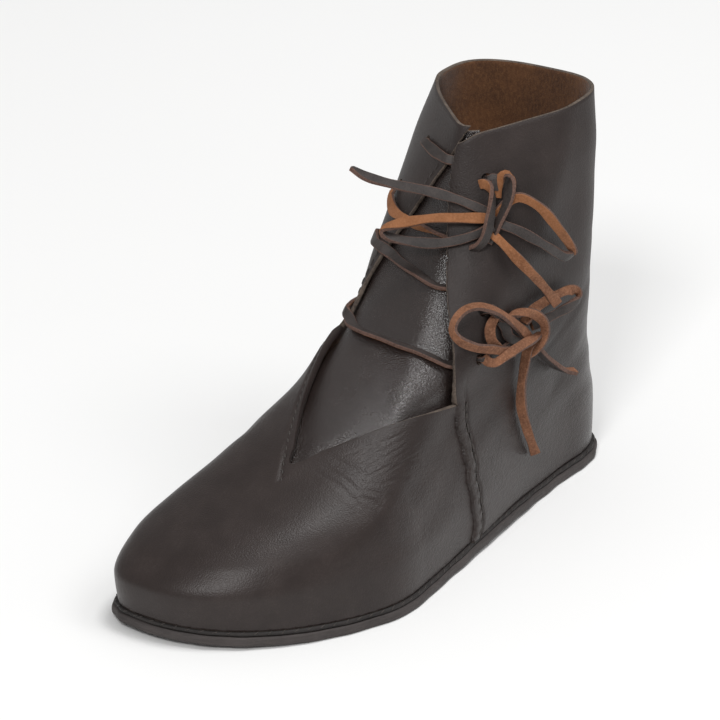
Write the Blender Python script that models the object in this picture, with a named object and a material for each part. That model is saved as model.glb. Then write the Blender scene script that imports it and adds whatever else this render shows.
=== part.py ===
"""Left ankle boot with a flat leather sole, side flap and two tied thongs.

Millimetres are used for the named sizes; the meshes are written in metres.
Toe towards -Y, heel towards +Y, +X is the outer (lateral) side, +Z is up.
"""
import bpy
import bmesh
import numpy as np

MM = 0.001

# Driving sizes, in millimetres
LENGTH = 280.0          # sole length, toe to heel
BALL_WIDTH = 104.0      # across the ball, outside of the leather
COLLAR_HEIGHT = 185.0   # height of the last; the collar is cut from it
TOE_SWING = 28.0        # the toe tip lies this far to the inner side
SWING_START = -40.0     # y where the toe begins to swing in
SWING_POWER = 1.65
HEEL_POWER = 2.3        # bluntness of the heel outline
TOE_SPRING = 2.5        # lift of the toe tip
ARCH_RISE = 1.5         # lift of the waist
WALL = 2.0              # leather of the upper
GAP = 0.3               # clearance between touching pieces
SOLE_THICK = 4.6
RAND_THICK = 1.8
INSOLE_THICK = 2.4
SOLE_LEDGE = 2.0        # sole edge beyond the foot of the upper
RAND_LEDGE = 1.1
RAND_WIDTH = 9.0
LAP_STEP = 1.0          # quarter over vamp, outer side
INNER_STEP = 0.6        # quarter over vamp, inner side
FLAP_LIFT = 3.0         # free flap edge stands this far off the foot shape
FLAP_FADE = 30.0        # width over which the lift and the lap die away
PANEL_THICK = 1.6
PANEL_CLEAR = 0.7       # panel lies this far inside the wall
PANEL_SINK = 0.8        # and this much further at its top, where the front narrows
PANEL_OVER = 1.8        # thong centre above the panel
PANEL_UNDER = 8.0       # panel tucked under its neighbours
HOLE_DIAMETER = 5.2
HOLE_BACK = 15.0        # outer holes lie this far behind the flap edge
INNER_HOLE_BACK = 24.0  # inner holes lie this far behind the inner seam
THONG_WIDTH = 4.6
THONG_THICK = 1.8
THONG_NECK = 2.6        # thong width squeezed in the holes
THONG_STEP = 4.0        # spacing of the sections along a thong

FRONT_COLUMNS = 17      # per side
REAR_COLUMNS = 34
LOW_ROWS = 12
HIGH_ROWS = 10

# Half widths of the foot at the sole, as shares of the ball width
SOLE_COLUMNS = ("along", "outer", "inner")
SOLE_ROWS = (
    (0.000, 0.414, 0.320),
    (0.143, 0.472, 0.425),
    (0.286, 0.525, 0.451),
    (0.375, 0.494, 0.441),
    (0.500, 0.445, 0.367),
    (0.625, 0.398, 0.305),
    (0.750, 0.345, 0.301),
    (0.875, 0.316, 0.311),
    (1.000, 0.330, 0.312),
)

# One row for each level of the last. up: share of the collar height; front, back, toeRound and
# heelRound: shares of the length; toeBlunt: roundness of the front end; legOuter and legInner: half
# widths of the leg as shares of the ball width; blend: 0 follows the sole's width, 1 the leg's;
# shift: sideways move of the instep in mm
LEVEL_COLUMNS = ("up", "front", "back", "toeRound", "heelRound", "toeBlunt", "legOuter", "legInner", "blend",
                 "shift")
LEVEL_ROWS = (
    (0.0000, 0.007, 0.993, 0.215, 0.129, 2.7, 0.313, 0.313, 0.00, 0.0),
    (0.0500, 0.001, 1.002, 0.215, 0.129, 2.7, 0.313, 0.313, 0.00, 0.0),
    (0.1250, -0.005, 1.004, 0.208, 0.129, 2.7, 0.313, 0.313, 0.05, 0.0),
    (0.1875, 0.032, 1.002, 0.203, 0.129, 2.7, 0.313, 0.313, 0.15, -1.0),
    (0.2375, 0.099, 0.995, 0.199, 0.129, 2.7, 0.313, 0.310, 0.25, -2.0),
    (0.2875, 0.184, 0.991, 0.194, 0.132, 2.7, 0.313, 0.302, 0.38, -3.0),
    (0.3375, 0.261, 0.987, 0.185, 0.132, 2.65, 0.313, 0.290, 0.50, -4.0),
    (0.3875, 0.342, 0.987, 0.178, 0.132, 2.55, 0.314, 0.288, 0.62, -4.0),
    (0.4500, 0.429, 0.989, 0.164, 0.131, 2.6, 0.317, 0.315, 0.75, -4.0),
    (0.5250, 0.523, 0.990, 0.152, 0.125, 2.5, 0.317, 0.352, 0.87, -3.5),
    (0.6125, 0.594, 0.993, 0.140, 0.121, 2.25, 0.315, 0.416, 1.00, -3.0),
    (0.7200, 0.650, 0.995, 0.146, 0.113, 1.91, 0.311, 0.465, 1.00, -1.0),
    (0.8450, 0.687, 0.998, 0.155, 0.105, 1.53, 0.308, 0.479, 1.00, 0.0),
    (1.0000, 0.717, 1.007, 0.170, 0.083, 1.14, 0.252, 0.451, 1.00, 0.0),
)

# Seams, as distances round the foot from the front centre line at each height
SEAM_COLUMNS = ("height", "flap", "inner")
SEAM_ROWS = (
    (6.0, 189.0, 169.5),
    (17.0, 194.0, 169.0),
    (25.0, 192.0, 166.0),
    (40.0, 169.0, 151.0),
    (50.0, 141.0, 133.0),
    (60.0, 111.0, 109.0),
    (73.0, 74.0, 76.0),
    (82.0, 54.0, 56.0),
    (92.0, 38.5, 40.0),
    (108.0, 21.0, 33.0),
    (122.0, 11.5, 28.5),
    (137.0, 5.0, 21.5),
    (153.0, 1.0, 13.0),
    (165.0, 0.0, 5.8),
    (175.0, 0.0, 0.4),
    (182.0, 0.0, -4.0),
    (190.0, 0.0, -8.0),
)

# Throat edge of the vamp: share of the way from the front centre to the seams (outer side positive)
THROAT_COLUMNS = ("share", "height")
THROAT_ROWS = ((-1.0, 90.0), (-0.75, 88.0), (-0.5, 84.0), (-0.3, 78.5), (-0.12, 71.5), (0.0, 66.0),
               (0.06, 62.5), (0.16, 67.0), (0.28, 70.6), (0.45, 73.8), (0.65, 74.8), (1.0, 72.0))

# Collar edge: share of the way from the flap edge round the heel to the inner seam
COLLAR_COLUMNS = ("round", "height")
COLLAR_ROWS = ((0.0, 173.4), (0.03, 178.0), (0.07, 179.4), (0.15, 181.2), (0.3, 182.6), (0.5, 180.8),
               (0.75, 180.6), (0.92, 182.0), (1.0, 181.4))

PANEL_TOP = 179.0

# Lace holes, from the lowest up
# tieBack and tieUp: where the thong from that hole meets its knot
# edgeHeight: where it crosses the inner quarter's edge; arch: how far the crossing bows up
HOLE_COLUMNS = ("outerHeight", "innerHeight", "tieBack", "tieUp", "edgeHeight", "arch")
HOLE_ROWS = (
    (88.0, 95.0, 25.0, -1.0, 95.5, 4.0),
    (110.0, 119.0, 33.0, -10.0, 118.5, 3.0),
    (134.0, 142.0, 4.5, -0.5, 134.8, 0.8),
    (159.0, 165.0, 4.0, -5.0, 165.8, 0.3),
)

# Bows on the outer quarter: centre line points of each loop and end, in mm
BOW_COLUMNS = ("x", "y", "z")
BOW_ROWS = {
    "upper_loop_front": ((18, 48, 145), (11, 42, 146), (1, 37, 145), (-10, 32, 142), (-18, 28, 139),
                         (-20, 27, 137), (-17, 27, 135), (-8, 30, 134), (3, 35, 134), (12, 40, 136),
                         (19, 46, 139)),
    "upper_loop_back": ((28, 60, 150), (32, 65, 152), (37, 71, 147), (40, 79, 136), (40, 89, 124),
                        (39, 93, 118), (39, 86, 119), (38, 75, 127), (36, 66, 134), (31, 60, 140)),
    "upper_end_front": ((18, 51, 151), (9, 45, 152), (-5, 40, 154), (-20, 35, 155), (-32, 32, 157),
                        (-40, 31, 160)),
    "upper_end_back": ((29, 55, 134), (33, 59, 129), (37, 66, 120), (38, 76, 107), (39, 82, 104)),
    "lower_loop_front": ((40, 52, 94), (41, 42, 105), (39, 32, 112), (35, 25, 113), (32, 19, 110),
                         (33, 16, 105), (37, 20, 99), (41, 29, 93), (41, 42, 88), (40, 52, 87)),
    "lower_loop_back": ((38, 73, 96), (38, 80, 98), (39, 88, 99), (40, 96, 97), (39, 102, 93), (38, 96, 91),
                        (38, 87, 90), (38, 75, 90)),
    "lower_end_down": ((37, 62, 79), (37.6, 57.5, 72), (38, 55, 64), (38.7, 54.3, 55), (39.4, 57.5, 44),
                       (39.4, 61.5, 35), (39.3, 64.8, 28)),
    "lower_end_back": ((37, 73, 79), (37, 80, 69), (38, 89, 61), (39, 98, 56)),
}
KNOT_COLUMNS = ("x", "y", "z", "wide", "tall", "deep")
KNOT_ROWS = {
    "upper_knot": (24, 54, 144.6, 9, 13, 6),
    "lower_knot": (37.5, 63, 89, 15, 15, 7),
}


def column(rows, names, name):
    return np.array([row[names.index(name)] for row in rows], float)


def smooth(xs, ys):
    """Monotone cubic through the points."""
    step = np.diff(xs)
    rise = np.diff(ys) / step
    slope = np.zeros(len(xs))
    for i in range(1, len(xs) - 1):
        if rise[i - 1] * rise[i] > 0:
            a = 2 * step[i] + step[i - 1]
            b = step[i] + 2 * step[i - 1]
            slope[i] = (a + b) / (a / rise[i - 1] + b / rise[i])
    slope[0] = rise[0]
    slope[-1] = rise[-1]

    def curve(x):
        x = np.clip(x, xs[0], xs[-1])
        i = np.clip(np.searchsorted(xs, x) - 1, 0, len(xs) - 2)
        h = step[i]
        t = (x - xs[i]) / h
        return (ys[i] * (1 + 2 * t) * (1 - t) ** 2 + slope[i] * h * t * (1 - t) ** 2
                + ys[i + 1] * t * t * (3 - 2 * t) + slope[i + 1] * h * t * t * (t - 1))
    return curve


def table(rows, names, scales):
    key = column(rows, names, names[0]) * scales[0][0] + scales[0][1]
    curves = {}
    for name, (gain, base) in zip(names[1:], scales[1:]):
        curves[name] = smooth(key, column(rows, names, name) * gain + base)
    return curves


ALONG = (LENGTH, -LENGTH / 2)
sole = table(SOLE_ROWS, SOLE_COLUMNS, (ALONG, (BALL_WIDTH, 0), (BALL_WIDTH, 0)))
level = table(LEVEL_ROWS, LEVEL_COLUMNS, ((COLLAR_HEIGHT, 0), ALONG, ALONG, (LENGTH, 0), (LENGTH, 0), (1, 0),
                                          (BALL_WIDTH, 0), (BALL_WIDTH, 0), (1, 0), (1, 0)))
seam = table(SEAM_ROWS, SEAM_COLUMNS, ((1, 0), (1, 0), (-1, 0)))
throat = table(THROAT_ROWS, THROAT_COLUMNS, ((1, 0), (1, 0)))
collar = table(COLLAR_ROWS, COLLAR_COLUMNS, ((1, 0), (1, 0)))


def lift(y):
    """Height of the sole's underside: toe spring and arch, flat at the heel and the ball."""
    toe = TOE_SPRING * np.clip((-y - 70) / 70, 0, 1) ** 2
    return toe + ARCH_RISE * (1 + np.cos(np.pi * np.clip((y - 30) / 55, -1, 1))) / 2


def sides(z, theta, grow=0.0):
    """Outer and inner points of the level at height z, for angles 0 at the toe to pi at the heel."""
    front = level["front"](z) - grow
    back = level["back"](z) + grow
    y = front + (back - front) * (1 - np.cos(theta)) / 2
    blend = level["blend"](z)
    outer = sole["outer"](y) * (1 - blend) + level["legOuter"](z) * blend + grow
    inner = sole["inner"](y) * (1 - blend) + level["legInner"](z) * blend + grow
    toe = np.clip((y - front) / level["toeRound"](z), 0, 1)
    heel = np.clip((back - y) / level["heelRound"](z), 0, 1)
    blunt = level["toeBlunt"](z)
    ends = (1 - (1 - toe) ** blunt) ** (1 / blunt) * (1 - (1 - heel) ** HEEL_POWER) ** (1 / HEEL_POWER)
    centre = -TOE_SWING * np.clip((SWING_START - y) / 100, 0, 1.5) ** SWING_POWER
    centre = centre + level["shift"](z) * np.clip((60 - y) / 60, 0, 1)
    return centre + outer * ends, centre - inner * ends, y


THETA = np.linspace(0, np.pi, 241)


def ring(z):
    """The level as distances round it from the front centre (outer side positive) and its points."""
    outer, inner, y = sides(z, THETA)
    out = np.concatenate(([0], np.cumsum(np.hypot(np.diff(outer), np.diff(y)))))
    inn = np.concatenate(([0], np.cumsum(np.hypot(np.diff(inner), np.diff(y)))))
    s = np.concatenate((-inn[:0:-1], out))
    return s, np.concatenate((inner[:0:-1], outer)), np.concatenate((y[:0:-1], y)), out[-1], inn[-1]


def skin(s, z):
    dist, xs, ys, outEnd, innEnd = ring(z)
    if s > outEnd:
        s -= outEnd + innEnd
    return np.array([np.interp(s, dist, xs), np.interp(s, dist, ys), z])


def normal(s, z):
    around = skin(s + 1.0, z) - skin(s - 1.0, z)
    high = ring(z + 0.8)
    low = ring(z - 0.8)
    if s > ring(z)[3]:
        s -= ring(z)[3] + ring(z)[4]
    up = np.array([np.interp(s, high[0], high[1]) - np.interp(s, low[0], low[1]),
                   np.interp(s, high[0], high[2]) - np.interp(s, low[0], low[2]), 1.6])
    n = np.cross(around, up)
    return n / np.linalg.norm(n)


def rear(v, z):
    """Distance round the level z, from the flap edge (v 0) round the heel to the inner seam (v 1)."""
    _, _, _, outEnd, innEnd = ring(z)
    flap = float(seam["flap"](z))
    return flap + v * (outEnd + innEnd - flap + float(seam["inner"](z)))


def throat_height(share):
    return float(throat["height"](share))


THROAT_OUTER = throat_height(1.0)
THROAT_INNER = throat_height(-1.0)


def fade(distance):
    return np.exp(-(distance / FLAP_FADE) ** 2)


def flap_lift(z):
    """Lift of the free flap edge, none below the throat."""
    t = np.clip((z - THROAT_OUTER) / 14, 0, 1)
    return FLAP_LIFT * t * t * (3 - 2 * t)


def add(name, verts, faces, colour, roughness):
    mesh = bpy.data.meshes.new(name)
    mesh.from_pydata([tuple(float(c) * MM for c in v) for v in verts], [], faces)
    bm = bmesh.new()
    bm.from_mesh(mesh)
    bmesh.ops.remove_doubles(bm, verts=bm.verts, dist=1e-6)
    bmesh.ops.recalc_face_normals(bm, faces=bm.faces)
    bm.to_mesh(mesh)
    bm.free()
    material = bpy.data.materials.new(name)
    material.use_nodes = True
    shader = material.node_tree.nodes["Principled BSDF"]
    shader.inputs["Base Color"].default_value = (*colour, 1)
    shader.inputs["Roughness"].default_value = roughness
    shader.inputs["Metallic"].default_value = 0.0
    mesh.materials.append(material)
    mesh.shade_smooth()
    mesh.set_sharp_from_angle(angle=np.radians(35))
    thing = bpy.data.objects.new(name, mesh)
    bpy.context.collection.objects.link(thing)
    return thing


def shell(outer, inner, cells):
    """Closed wall between two matching point grids; cells are quads of grid keys."""
    keys = sorted({k for cell in cells for k in cell})
    index = {k: i for i, k in enumerate(keys)}
    count = len(keys)
    verts = [outer[k] for k in keys] + [inner[k] for k in keys]
    faces = []
    edges = {}
    for cell in cells:
        loop = [index[k] for k in cell]
        faces.append(loop)
        faces.append([i + count for i in reversed(loop)])
        for a, b in zip(loop, loop[1:] + loop[:1]):
            edges[(a, b)] = edges.get((a, b), 0) + 1
    for a, b in edges:
        if (b, a) not in edges:
            faces.append([b, a, a + count, b + count])
    return verts, faces


def upper_columns():
    """Column list round the boot: vamp from the inner seam to the flap edge, then the quarter."""
    columns = []
    for i in range(2 * FRONT_COLUMNS + 1):
        columns.append(("front", i / FRONT_COLUMNS - 1))
    for i in range(REAR_COLUMNS + 1):
        columns.append(("rear", i / REAR_COLUMNS))
    return columns


def build_upper():
    columns = upper_columns()
    foot = SOLE_THICK + RAND_THICK + 2 * GAP
    outer = {}
    inner = {}
    rows = LOW_ROWS + HIGH_ROWS
    for j, (kind, t) in enumerate(columns):
        if kind == "front":
            edge = throat_height(t)
        else:
            edge = THROAT_OUTER + (THROAT_INNER - THROAT_OUTER) * t
        start = float(seam["flap"](8.0)) * t if t > 0 else -float(seam["inner"](8.0)) * t
        if kind == "rear":
            start = rear(t, 8.0)
        bottom = foot + float(lift(skin(start, 8.0)[1]))
        for i in range(rows + 1):
            if i <= LOW_ROWS:
                z = bottom + (edge - bottom) * i / LOW_ROWS
            elif kind == "rear":
                z = edge + (float(collar["height"](t)) - edge) * (i - LOW_ROWS) / HIGH_ROWS
            else:
                break
            if kind == "front":
                s = (float(seam["flap"](z)) - 0.5) * t if t > 0 else -(float(seam["inner"](z)) + 0.5) * t
                rise = 0.0
                lap = 0.0
            else:
                s = rear(t, z)
                _, _, _, outEnd, innEnd = ring(z)
                ahead = s - float(seam["flap"](z))
                behind = outEnd + innEnd + float(seam["inner"](z)) - s
                lap = INNER_STEP * fade(behind) * np.clip((THROAT_INNER + 8 - z) / 16, 0, 1)
                lap += LAP_STEP * fade(ahead)
                lap *= np.clip((THROAT_OUTER + 12 - z) / 12, 0, 1) if ahead < behind else 1
                rise = flap_lift(z) * fade(ahead)
            n = normal(s, z)
            if i == 0:
                n = np.array([n[0], n[1], 0]) / np.hypot(n[0], n[1])
            base = skin(s, z)
            outer[(i, j)] = base + n * (rise + lap)
            inner[(i, j)] = base + n * (rise - WALL)
    cells = []
    total = len(columns)
    last_front = 2 * FRONT_COLUMNS
    for i in range(rows):
        for j in range(total):
            k = (j + 1) % total
            if i >= LOW_ROWS and (j < last_front + 1 or k == 0):
                continue
            cells.append(((i, j), (i, k), (i + 1, k), (i + 1, j)))
    verts, faces = shell(outer, inner, cells)
    return add("upper", verts, faces, (0.050, 0.040, 0.036), 0.42)


def outline(grow, count):
    theta = np.linspace(0, np.pi, count + 1)
    outer, inner, y = sides(8.0, theta, grow)
    return outer, inner, y


def build_slab(name, count, layers, colour, roughness):
    """Solid plate between two outlines; layers are (height above the lift, grow) from the bottom up."""
    verts = []
    faces = []
    stacks = []
    for height, grow in layers:
        outer, inner, y = outline(grow, count)
        rowsHere = []
        for k in range(count + 1):
            z = height + float(lift(y[k]))
            mid = (outer[k] + inner[k]) / 2
            spots = [(outer[k], y[k], z), (mid, y[k], z), (inner[k], y[k], z)]
            if k in (0, count):
                verts.append(spots[1])
                rowsHere.append([len(verts) - 1] * 3)
            else:
                verts.extend(spots)
                rowsHere.append([len(verts) - 3, len(verts) - 2, len(verts) - 1])
        stacks.append(rowsHere)

    def face(*loop):
        clean = []
        for i in loop:
            if i not in clean:
                clean.append(i)
        if len(clean) > 2:
            faces.append(clean)
    for k in range(count):
        for a, b in ((0, 1), (1, 2)):
            face(stacks[0][k][a], stacks[0][k][b], stacks[0][k + 1][b], stacks[0][k + 1][a])
            face(stacks[-1][k][a], stacks[-1][k + 1][a], stacks[-1][k + 1][b], stacks[-1][k][b])
        for low, high in zip(stacks, stacks[1:]):
            face(low[k][0], low[k + 1][0], high[k + 1][0], high[k][0])
            face(low[k][2], high[k][2], high[k + 1][2], low[k + 1][2])
    return add(name, verts, faces, colour, roughness)


def build_rand():
    bottom = SOLE_THICK + GAP
    count = 52
    loops = []
    for grow, height in ((RAND_LEDGE, bottom), (RAND_LEDGE, bottom + RAND_THICK),
                         (RAND_LEDGE - RAND_WIDTH, bottom + RAND_THICK), (RAND_LEDGE - RAND_WIDTH, bottom)):
        outer, inner, y = outline(grow, count)
        xs = np.concatenate((outer, inner[-2:0:-1]))
        ys = np.concatenate((y, y[-2:0:-1]))
        loops.append([(a, b, height + float(lift(b))) for a, b in zip(xs, ys)])
    size = len(loops[0])
    verts = [p for loop in loops for p in loop]
    faces = []
    for i in range(4):
        for k in range(size):
            m = (k + 1) % size
            n = (i + 1) % 4
            faces.append((i * size + k, i * size + m, n * size + m, n * size + k))
    return add("rand", verts, faces, (0.035, 0.026, 0.022), 0.8)


def build_panel():
    """Instep panel: under the vamp's throat edge, the inner seam and the outer flap."""
    across = 14
    tall = 16
    outer = {}
    inner = {}
    for j in range(across + 1):
        t = j / across * 2 - 1
        bottom = throat_height(t) - 5.0
        for i in range(tall + 1):
            z = bottom + (PANEL_TOP - bottom) * i / tall
            right = float(seam["flap"](z)) + PANEL_UNDER + 2
            left = float(seam["inner"](z)) - PANEL_UNDER
            s = left + (right - left) * j / across
            n = normal(s, z)
            base = skin(s, z)
            depth = WALL + PANEL_CLEAR + PANEL_SINK * min(max((z - 160) / 15, 0), 1)
            outer[(i, j)] = base - n * depth
            inner[(i, j)] = base - n * (depth + PANEL_THICK)
    cells = [((i, j), (i, j + 1), (i + 1, j + 1), (i + 1, j)) for i in range(tall) for j in range(across)]
    verts, faces = shell(outer, inner, cells)
    return add("instep_panel", verts, faces, (0.050, 0.040, 0.036), 0.42)


def hole_spots():
    """Lace holes as (distance round, height) pairs: outer flap side, then inner side."""
    outerHeights = column(HOLE_ROWS, HOLE_COLUMNS, "outerHeight")
    innerHeights = column(HOLE_ROWS, HOLE_COLUMNS, "innerHeight")
    out = [(float(seam["flap"](z)) + HOLE_BACK, float(z)) for z in outerHeights]
    inn = [(float(seam["inner"](z)) - INNER_HOLE_BACK, float(z)) for z in innerHeights]
    return out, inn


def punch_holes(upper):
    verts = []
    faces = []
    sidesCount = 10
    for s, z in sum(hole_spots(), []):
        n = normal(s, z)
        a = np.cross(n, (0, 0, 1))
        a /= np.linalg.norm(a)
        b = np.cross(n, a)
        start = len(verts)
        base = skin(s, z)
        for reach in (-9.0, 9.0):
            for k in range(sidesCount):
                turn = 2 * np.pi * k / sidesCount
                verts.append(base + n * reach + (a * np.cos(turn) + b * np.sin(turn)) * HOLE_DIAMETER / 2)
        faces.append([start + k for k in range(sidesCount)])
        faces.append([start + sidesCount + k for k in reversed(range(sidesCount))])
        for k in range(sidesCount):
            m = (k + 1) % sidesCount
            faces.append((start + k, start + sidesCount + k, start + sidesCount + m, start + m))
    punch = add("hole_punch", verts, faces, (0.5, 0.5, 0.5), 0.5)
    punch.hide_render = True
    punch.display_type = "WIRE"
    cut = upper.modifiers.new("laceHoles", "BOOLEAN")
    cut.operation = "DIFFERENCE"
    cut.object = punch
    return punch


def curve_points(points, step):
    """Smooth curve through the points, sampled about every step."""
    points = np.asarray(points, float)
    ends = np.vstack((2 * points[0] - points[1], points, 2 * points[-1] - points[-2]))
    path = []
    for i in range(1, len(ends) - 2):
        a, b, c, d = ends[i - 1:i + 3]
        count = max(1, int(round(np.linalg.norm(c - b) / step)))
        for t in np.arange(count) / count:
            path.append(0.5 * (2 * b + (c - a) * t + (2 * a - 5 * b + 4 * c - d) * t ** 2
                               + (3 * b - a - 3 * c + d) * t ** 3))
    path.append(points[-1])
    return np.array(path)


def strap(path, sides, widths, thick):
    """Closed flat strip along the path; sides gives the direction across its broad face."""
    verts = []
    faces = []
    count = len(path)
    for i in range(count):
        along = path[min(i + 1, count - 1)] - path[max(i - 1, 0)]
        along = along / np.linalg.norm(along)
        side = sides[i] - along * np.dot(sides[i], along)
        side = side / np.linalg.norm(side)
        out = np.cross(side, along)
        for a, b in ((-1, -1), (1, -1), (1, 1), (-1, 1)):
            verts.append(path[i] + side * a * widths[i] / 2 + out * b * thick / 2)
    for i in range(count - 1):
        for k in range(4):
            m = (k + 1) % 4
            faces.append((4 * i + k, 4 * i + m, 4 * i + 4 + m, 4 * i + 4 + k))
    faces.append((3, 2, 1, 0))
    faces.append(tuple(4 * count - 4 + k for k in range(4)))
    return verts, faces


def over(s, z, off):
    return skin(s, z) + normal(s, z) * off


def lace_route(low, high):
    """Route of one thong: out of the low outer hole, across, inside between the inner holes, back across."""
    out, inn = hole_spots()
    under = PANEL_OVER - WALL - PANEL_CLEAR

    def bar(row):
        (s0, z0), (s1, z1) = out[row], inn[row]
        edge0 = float(seam["flap"](z0))
        back, up, edge_z, arch = HOLE_ROWS[row][2:]
        edge1 = float(seam["inner"](edge_z))
        open_width = float(seam["flap"](edge_z)) - edge1
        points = []
        for t in np.linspace(1.0, 0.3, max(1, int(back / 6))):
            s = s0 + back * t
            lap = float(flap_lift(z0)) * fade(s - edge0)
            points.append((s, z0 + up * t, lap + 2.1, 1))
        lap = float(flap_lift(z0)) * fade(HOLE_BACK)
        points.append((s0 + 3.4, z0, lap + 1.7, 1))
        points.append((s0 + 0.6, z0, lap + 1.0, 0))
        points.append((s0 - 0.1, z0, lap - WALL - 0.6, 0))
        points.append((s0 - 2.4, z0, lap - WALL - 1.9, 1))
        for t in np.linspace(0.0, 1.0, 10)[1:]:
            s = s0 + (edge1 + min(6.0, 1.2 * open_width) - s0) * t
            sunk = 0.5 if s > edge0 - 3 else 0.0
            points.append((s, z0 + (edge_z - z0) * t + arch * np.sin(np.pi * t), under - sunk, 1))
        climb = z1 - edge_z
        points.append((edge1 + min(1.5, open_width - 3.5), edge_z, 1.8, 1))
        points.append((edge1 - 3, edge_z + climb * 0.15, 1.9, 1))
        points.append((edge1 - 9, edge_z + climb * 0.5, 1.9, 1))
        points.append((s1 + 3.4, z1, 1.9, 1))
        points.append((s1 + 0.6, z1, 1.0, 0))
        points.append((s1, z1, -WALL - 1.0, 0))
        return points
    first = bar(low)
    second = bar(high)
    inside = []
    for t in np.linspace(0.12, 0.88, 6):
        s = inn[low][0] + (inn[high][0] - inn[low][0]) * t
        z = inn[low][1] + (inn[high][1] - inn[low][1]) * t
        inside.append((s, z, -WALL - 2.2, 2))
    return first + inside + second[::-1]


def rising(s, z):
    """Direction up the skin at a spot."""
    n = normal(s, z)
    up = np.array((0.0, 0.0, 1.0)) - n * n[2]
    return up / np.linalg.norm(up)


def build_lace(name, low, high):
    route = lace_route(low, high)
    points = np.array([over(s, z, off) for s, z, off, _ in route])
    ways = []
    for s, z, _, flag in route:
        up = rising(s, z)
        ways.append(up if flag < 2 else np.cross(normal(s, z), up))
    ways = np.array(ways)
    wide = [(THONG_NECK, THONG_WIDTH, THONG_THICK)[flag] for _, _, _, flag in route]
    path = curve_points(points, THONG_STEP)
    spot = np.concatenate(([0], np.cumsum(np.linalg.norm(np.diff(points, axis=0), axis=1))))
    run = np.concatenate(([0], np.cumsum(np.linalg.norm(np.diff(path, axis=0), axis=1))))
    run = run * spot[-1] / run[-1]
    way = np.stack([np.interp(run, spot, ways[:, k]) for k in range(3)], axis=1)
    widths = np.interp(run, spot, wide)
    verts, faces = strap(path, way, widths, THONG_THICK)
    return add(name, verts, faces, (0.10, 0.065, 0.05), 0.6)


def knot_axes(name):
    """Centre, half sizes and directions of a knot: backwards, outwards and up."""
    x, y, z, wide, tall, deep = KNOT_ROWS[name]
    out = np.array((0.85, -0.45, 0.25)) if "upper" in name else np.array((1.0, -0.03, 0.05))
    out = out / np.linalg.norm(out)
    back = np.cross((0, 0, 1), out)
    back = back / np.linalg.norm(back)
    up = np.cross(out, back)
    return np.array((x, y, z), float), np.array((wide, deep, tall)) / 2, np.array((back, out, up))


def meet(point, knot):
    """Where a cord that runs to the point leaves its knot, clear of it by the gap."""
    centre, half, axes = knot_axes(knot)
    way = point - centre
    way = way / np.linalg.norm(way)
    return centre + way * (np.linalg.norm(half * (axes @ way)) + GAP)


def build_bow(name):
    points = np.array(BOW_ROWS[name], float)
    knot = name.split("_")[0] + "_knot"
    ends = [meet(points[0], knot)], [meet(points[-1], knot)]
    points = np.vstack((ends[0], points, ends[1]) if "loop" in name else (ends[0], points))
    path = curve_points(points, THONG_STEP)
    if "loop" in name:
        spread = path - path.mean(0)
        way = np.tile(np.linalg.svd(spread)[2][2], (len(path), 1))
    else:
        way = np.cross(np.gradient(path, axis=0), (0.85, -0.45, 0.25))
    verts, faces = strap(path, way, np.full(len(path), THONG_WIDTH), THONG_THICK)
    return add(name, verts, faces, (0.24, 0.12, 0.065), 0.65)


def build_knot(name):
    centre, half, axes = knot_axes(name)
    bm = bmesh.new()
    bmesh.ops.create_uvsphere(bm, u_segments=14, v_segments=9, radius=1)
    spots = [centre + (np.array(v.co) * half) @ axes for v in bm.verts]
    faces = [[v.index for v in f.verts] for f in bm.faces]
    bm.free()
    return add(name, spots, faces, (0.14, 0.08, 0.05), 0.6)


def centre_on_floor(things):
    """Move every object so that the boot stands centred on the origin."""
    low = np.full(3, np.inf)
    high = -low
    for thing in things:
        points = np.array([v.co for v in thing.data.vertices])
        low = np.minimum(low, points.min(0))
        high = np.maximum(high, points.max(0))
    move = (low + high) / 2
    for thing in bpy.data.objects:
        if thing.type == "MESH":
            thing.location = (-move[0], -move[1], -low[2])


def main():
    for thing in list(bpy.data.objects):
        bpy.data.objects.remove(thing)
    foot = SOLE_THICK + RAND_THICK + 2 * GAP
    edge = ((0.0, SOLE_LEDGE - 0.7), (0.8, SOLE_LEDGE), (SOLE_THICK - 0.4, SOLE_LEDGE),
            (SOLE_THICK, SOLE_LEDGE - 0.4))
    outsole = build_slab("outsole", 52, edge, (0.060, 0.045, 0.036), 0.6)
    rand = build_rand()
    insole = build_slab("insole", 40, ((foot, -WALL - 0.7), (foot + INSOLE_THICK, -WALL - 0.9)),
                        (0.13, 0.075, 0.038), 0.85)
    upper = build_upper()
    panel = build_panel()
    punch_holes(upper)
    build_lace("lace_lower", 0, 1)
    build_lace("lace_upper", 2, 3)
    for name in BOW_ROWS:
        build_bow(name)
    for name in KNOT_ROWS:
        build_knot(name)
    centre_on_floor((outsole, rand, insole, upper, panel))


if __name__ == "__main__":
    main()
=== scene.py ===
import math
import bmesh
import bpy
import numpy as np
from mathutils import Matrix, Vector


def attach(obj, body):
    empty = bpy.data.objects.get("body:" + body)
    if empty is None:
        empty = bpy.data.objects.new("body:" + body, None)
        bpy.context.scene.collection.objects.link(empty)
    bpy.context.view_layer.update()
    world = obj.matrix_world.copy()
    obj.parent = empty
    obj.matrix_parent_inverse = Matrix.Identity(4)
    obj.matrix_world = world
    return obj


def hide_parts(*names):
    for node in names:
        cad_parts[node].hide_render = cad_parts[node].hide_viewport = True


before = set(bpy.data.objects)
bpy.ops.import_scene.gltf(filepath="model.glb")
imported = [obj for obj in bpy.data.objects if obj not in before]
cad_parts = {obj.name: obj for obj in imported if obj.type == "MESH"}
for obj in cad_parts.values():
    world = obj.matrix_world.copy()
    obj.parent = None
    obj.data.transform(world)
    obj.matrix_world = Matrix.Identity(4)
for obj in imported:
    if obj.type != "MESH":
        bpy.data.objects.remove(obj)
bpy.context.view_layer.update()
print("frame:", len(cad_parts), "nodes loaded")

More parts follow.
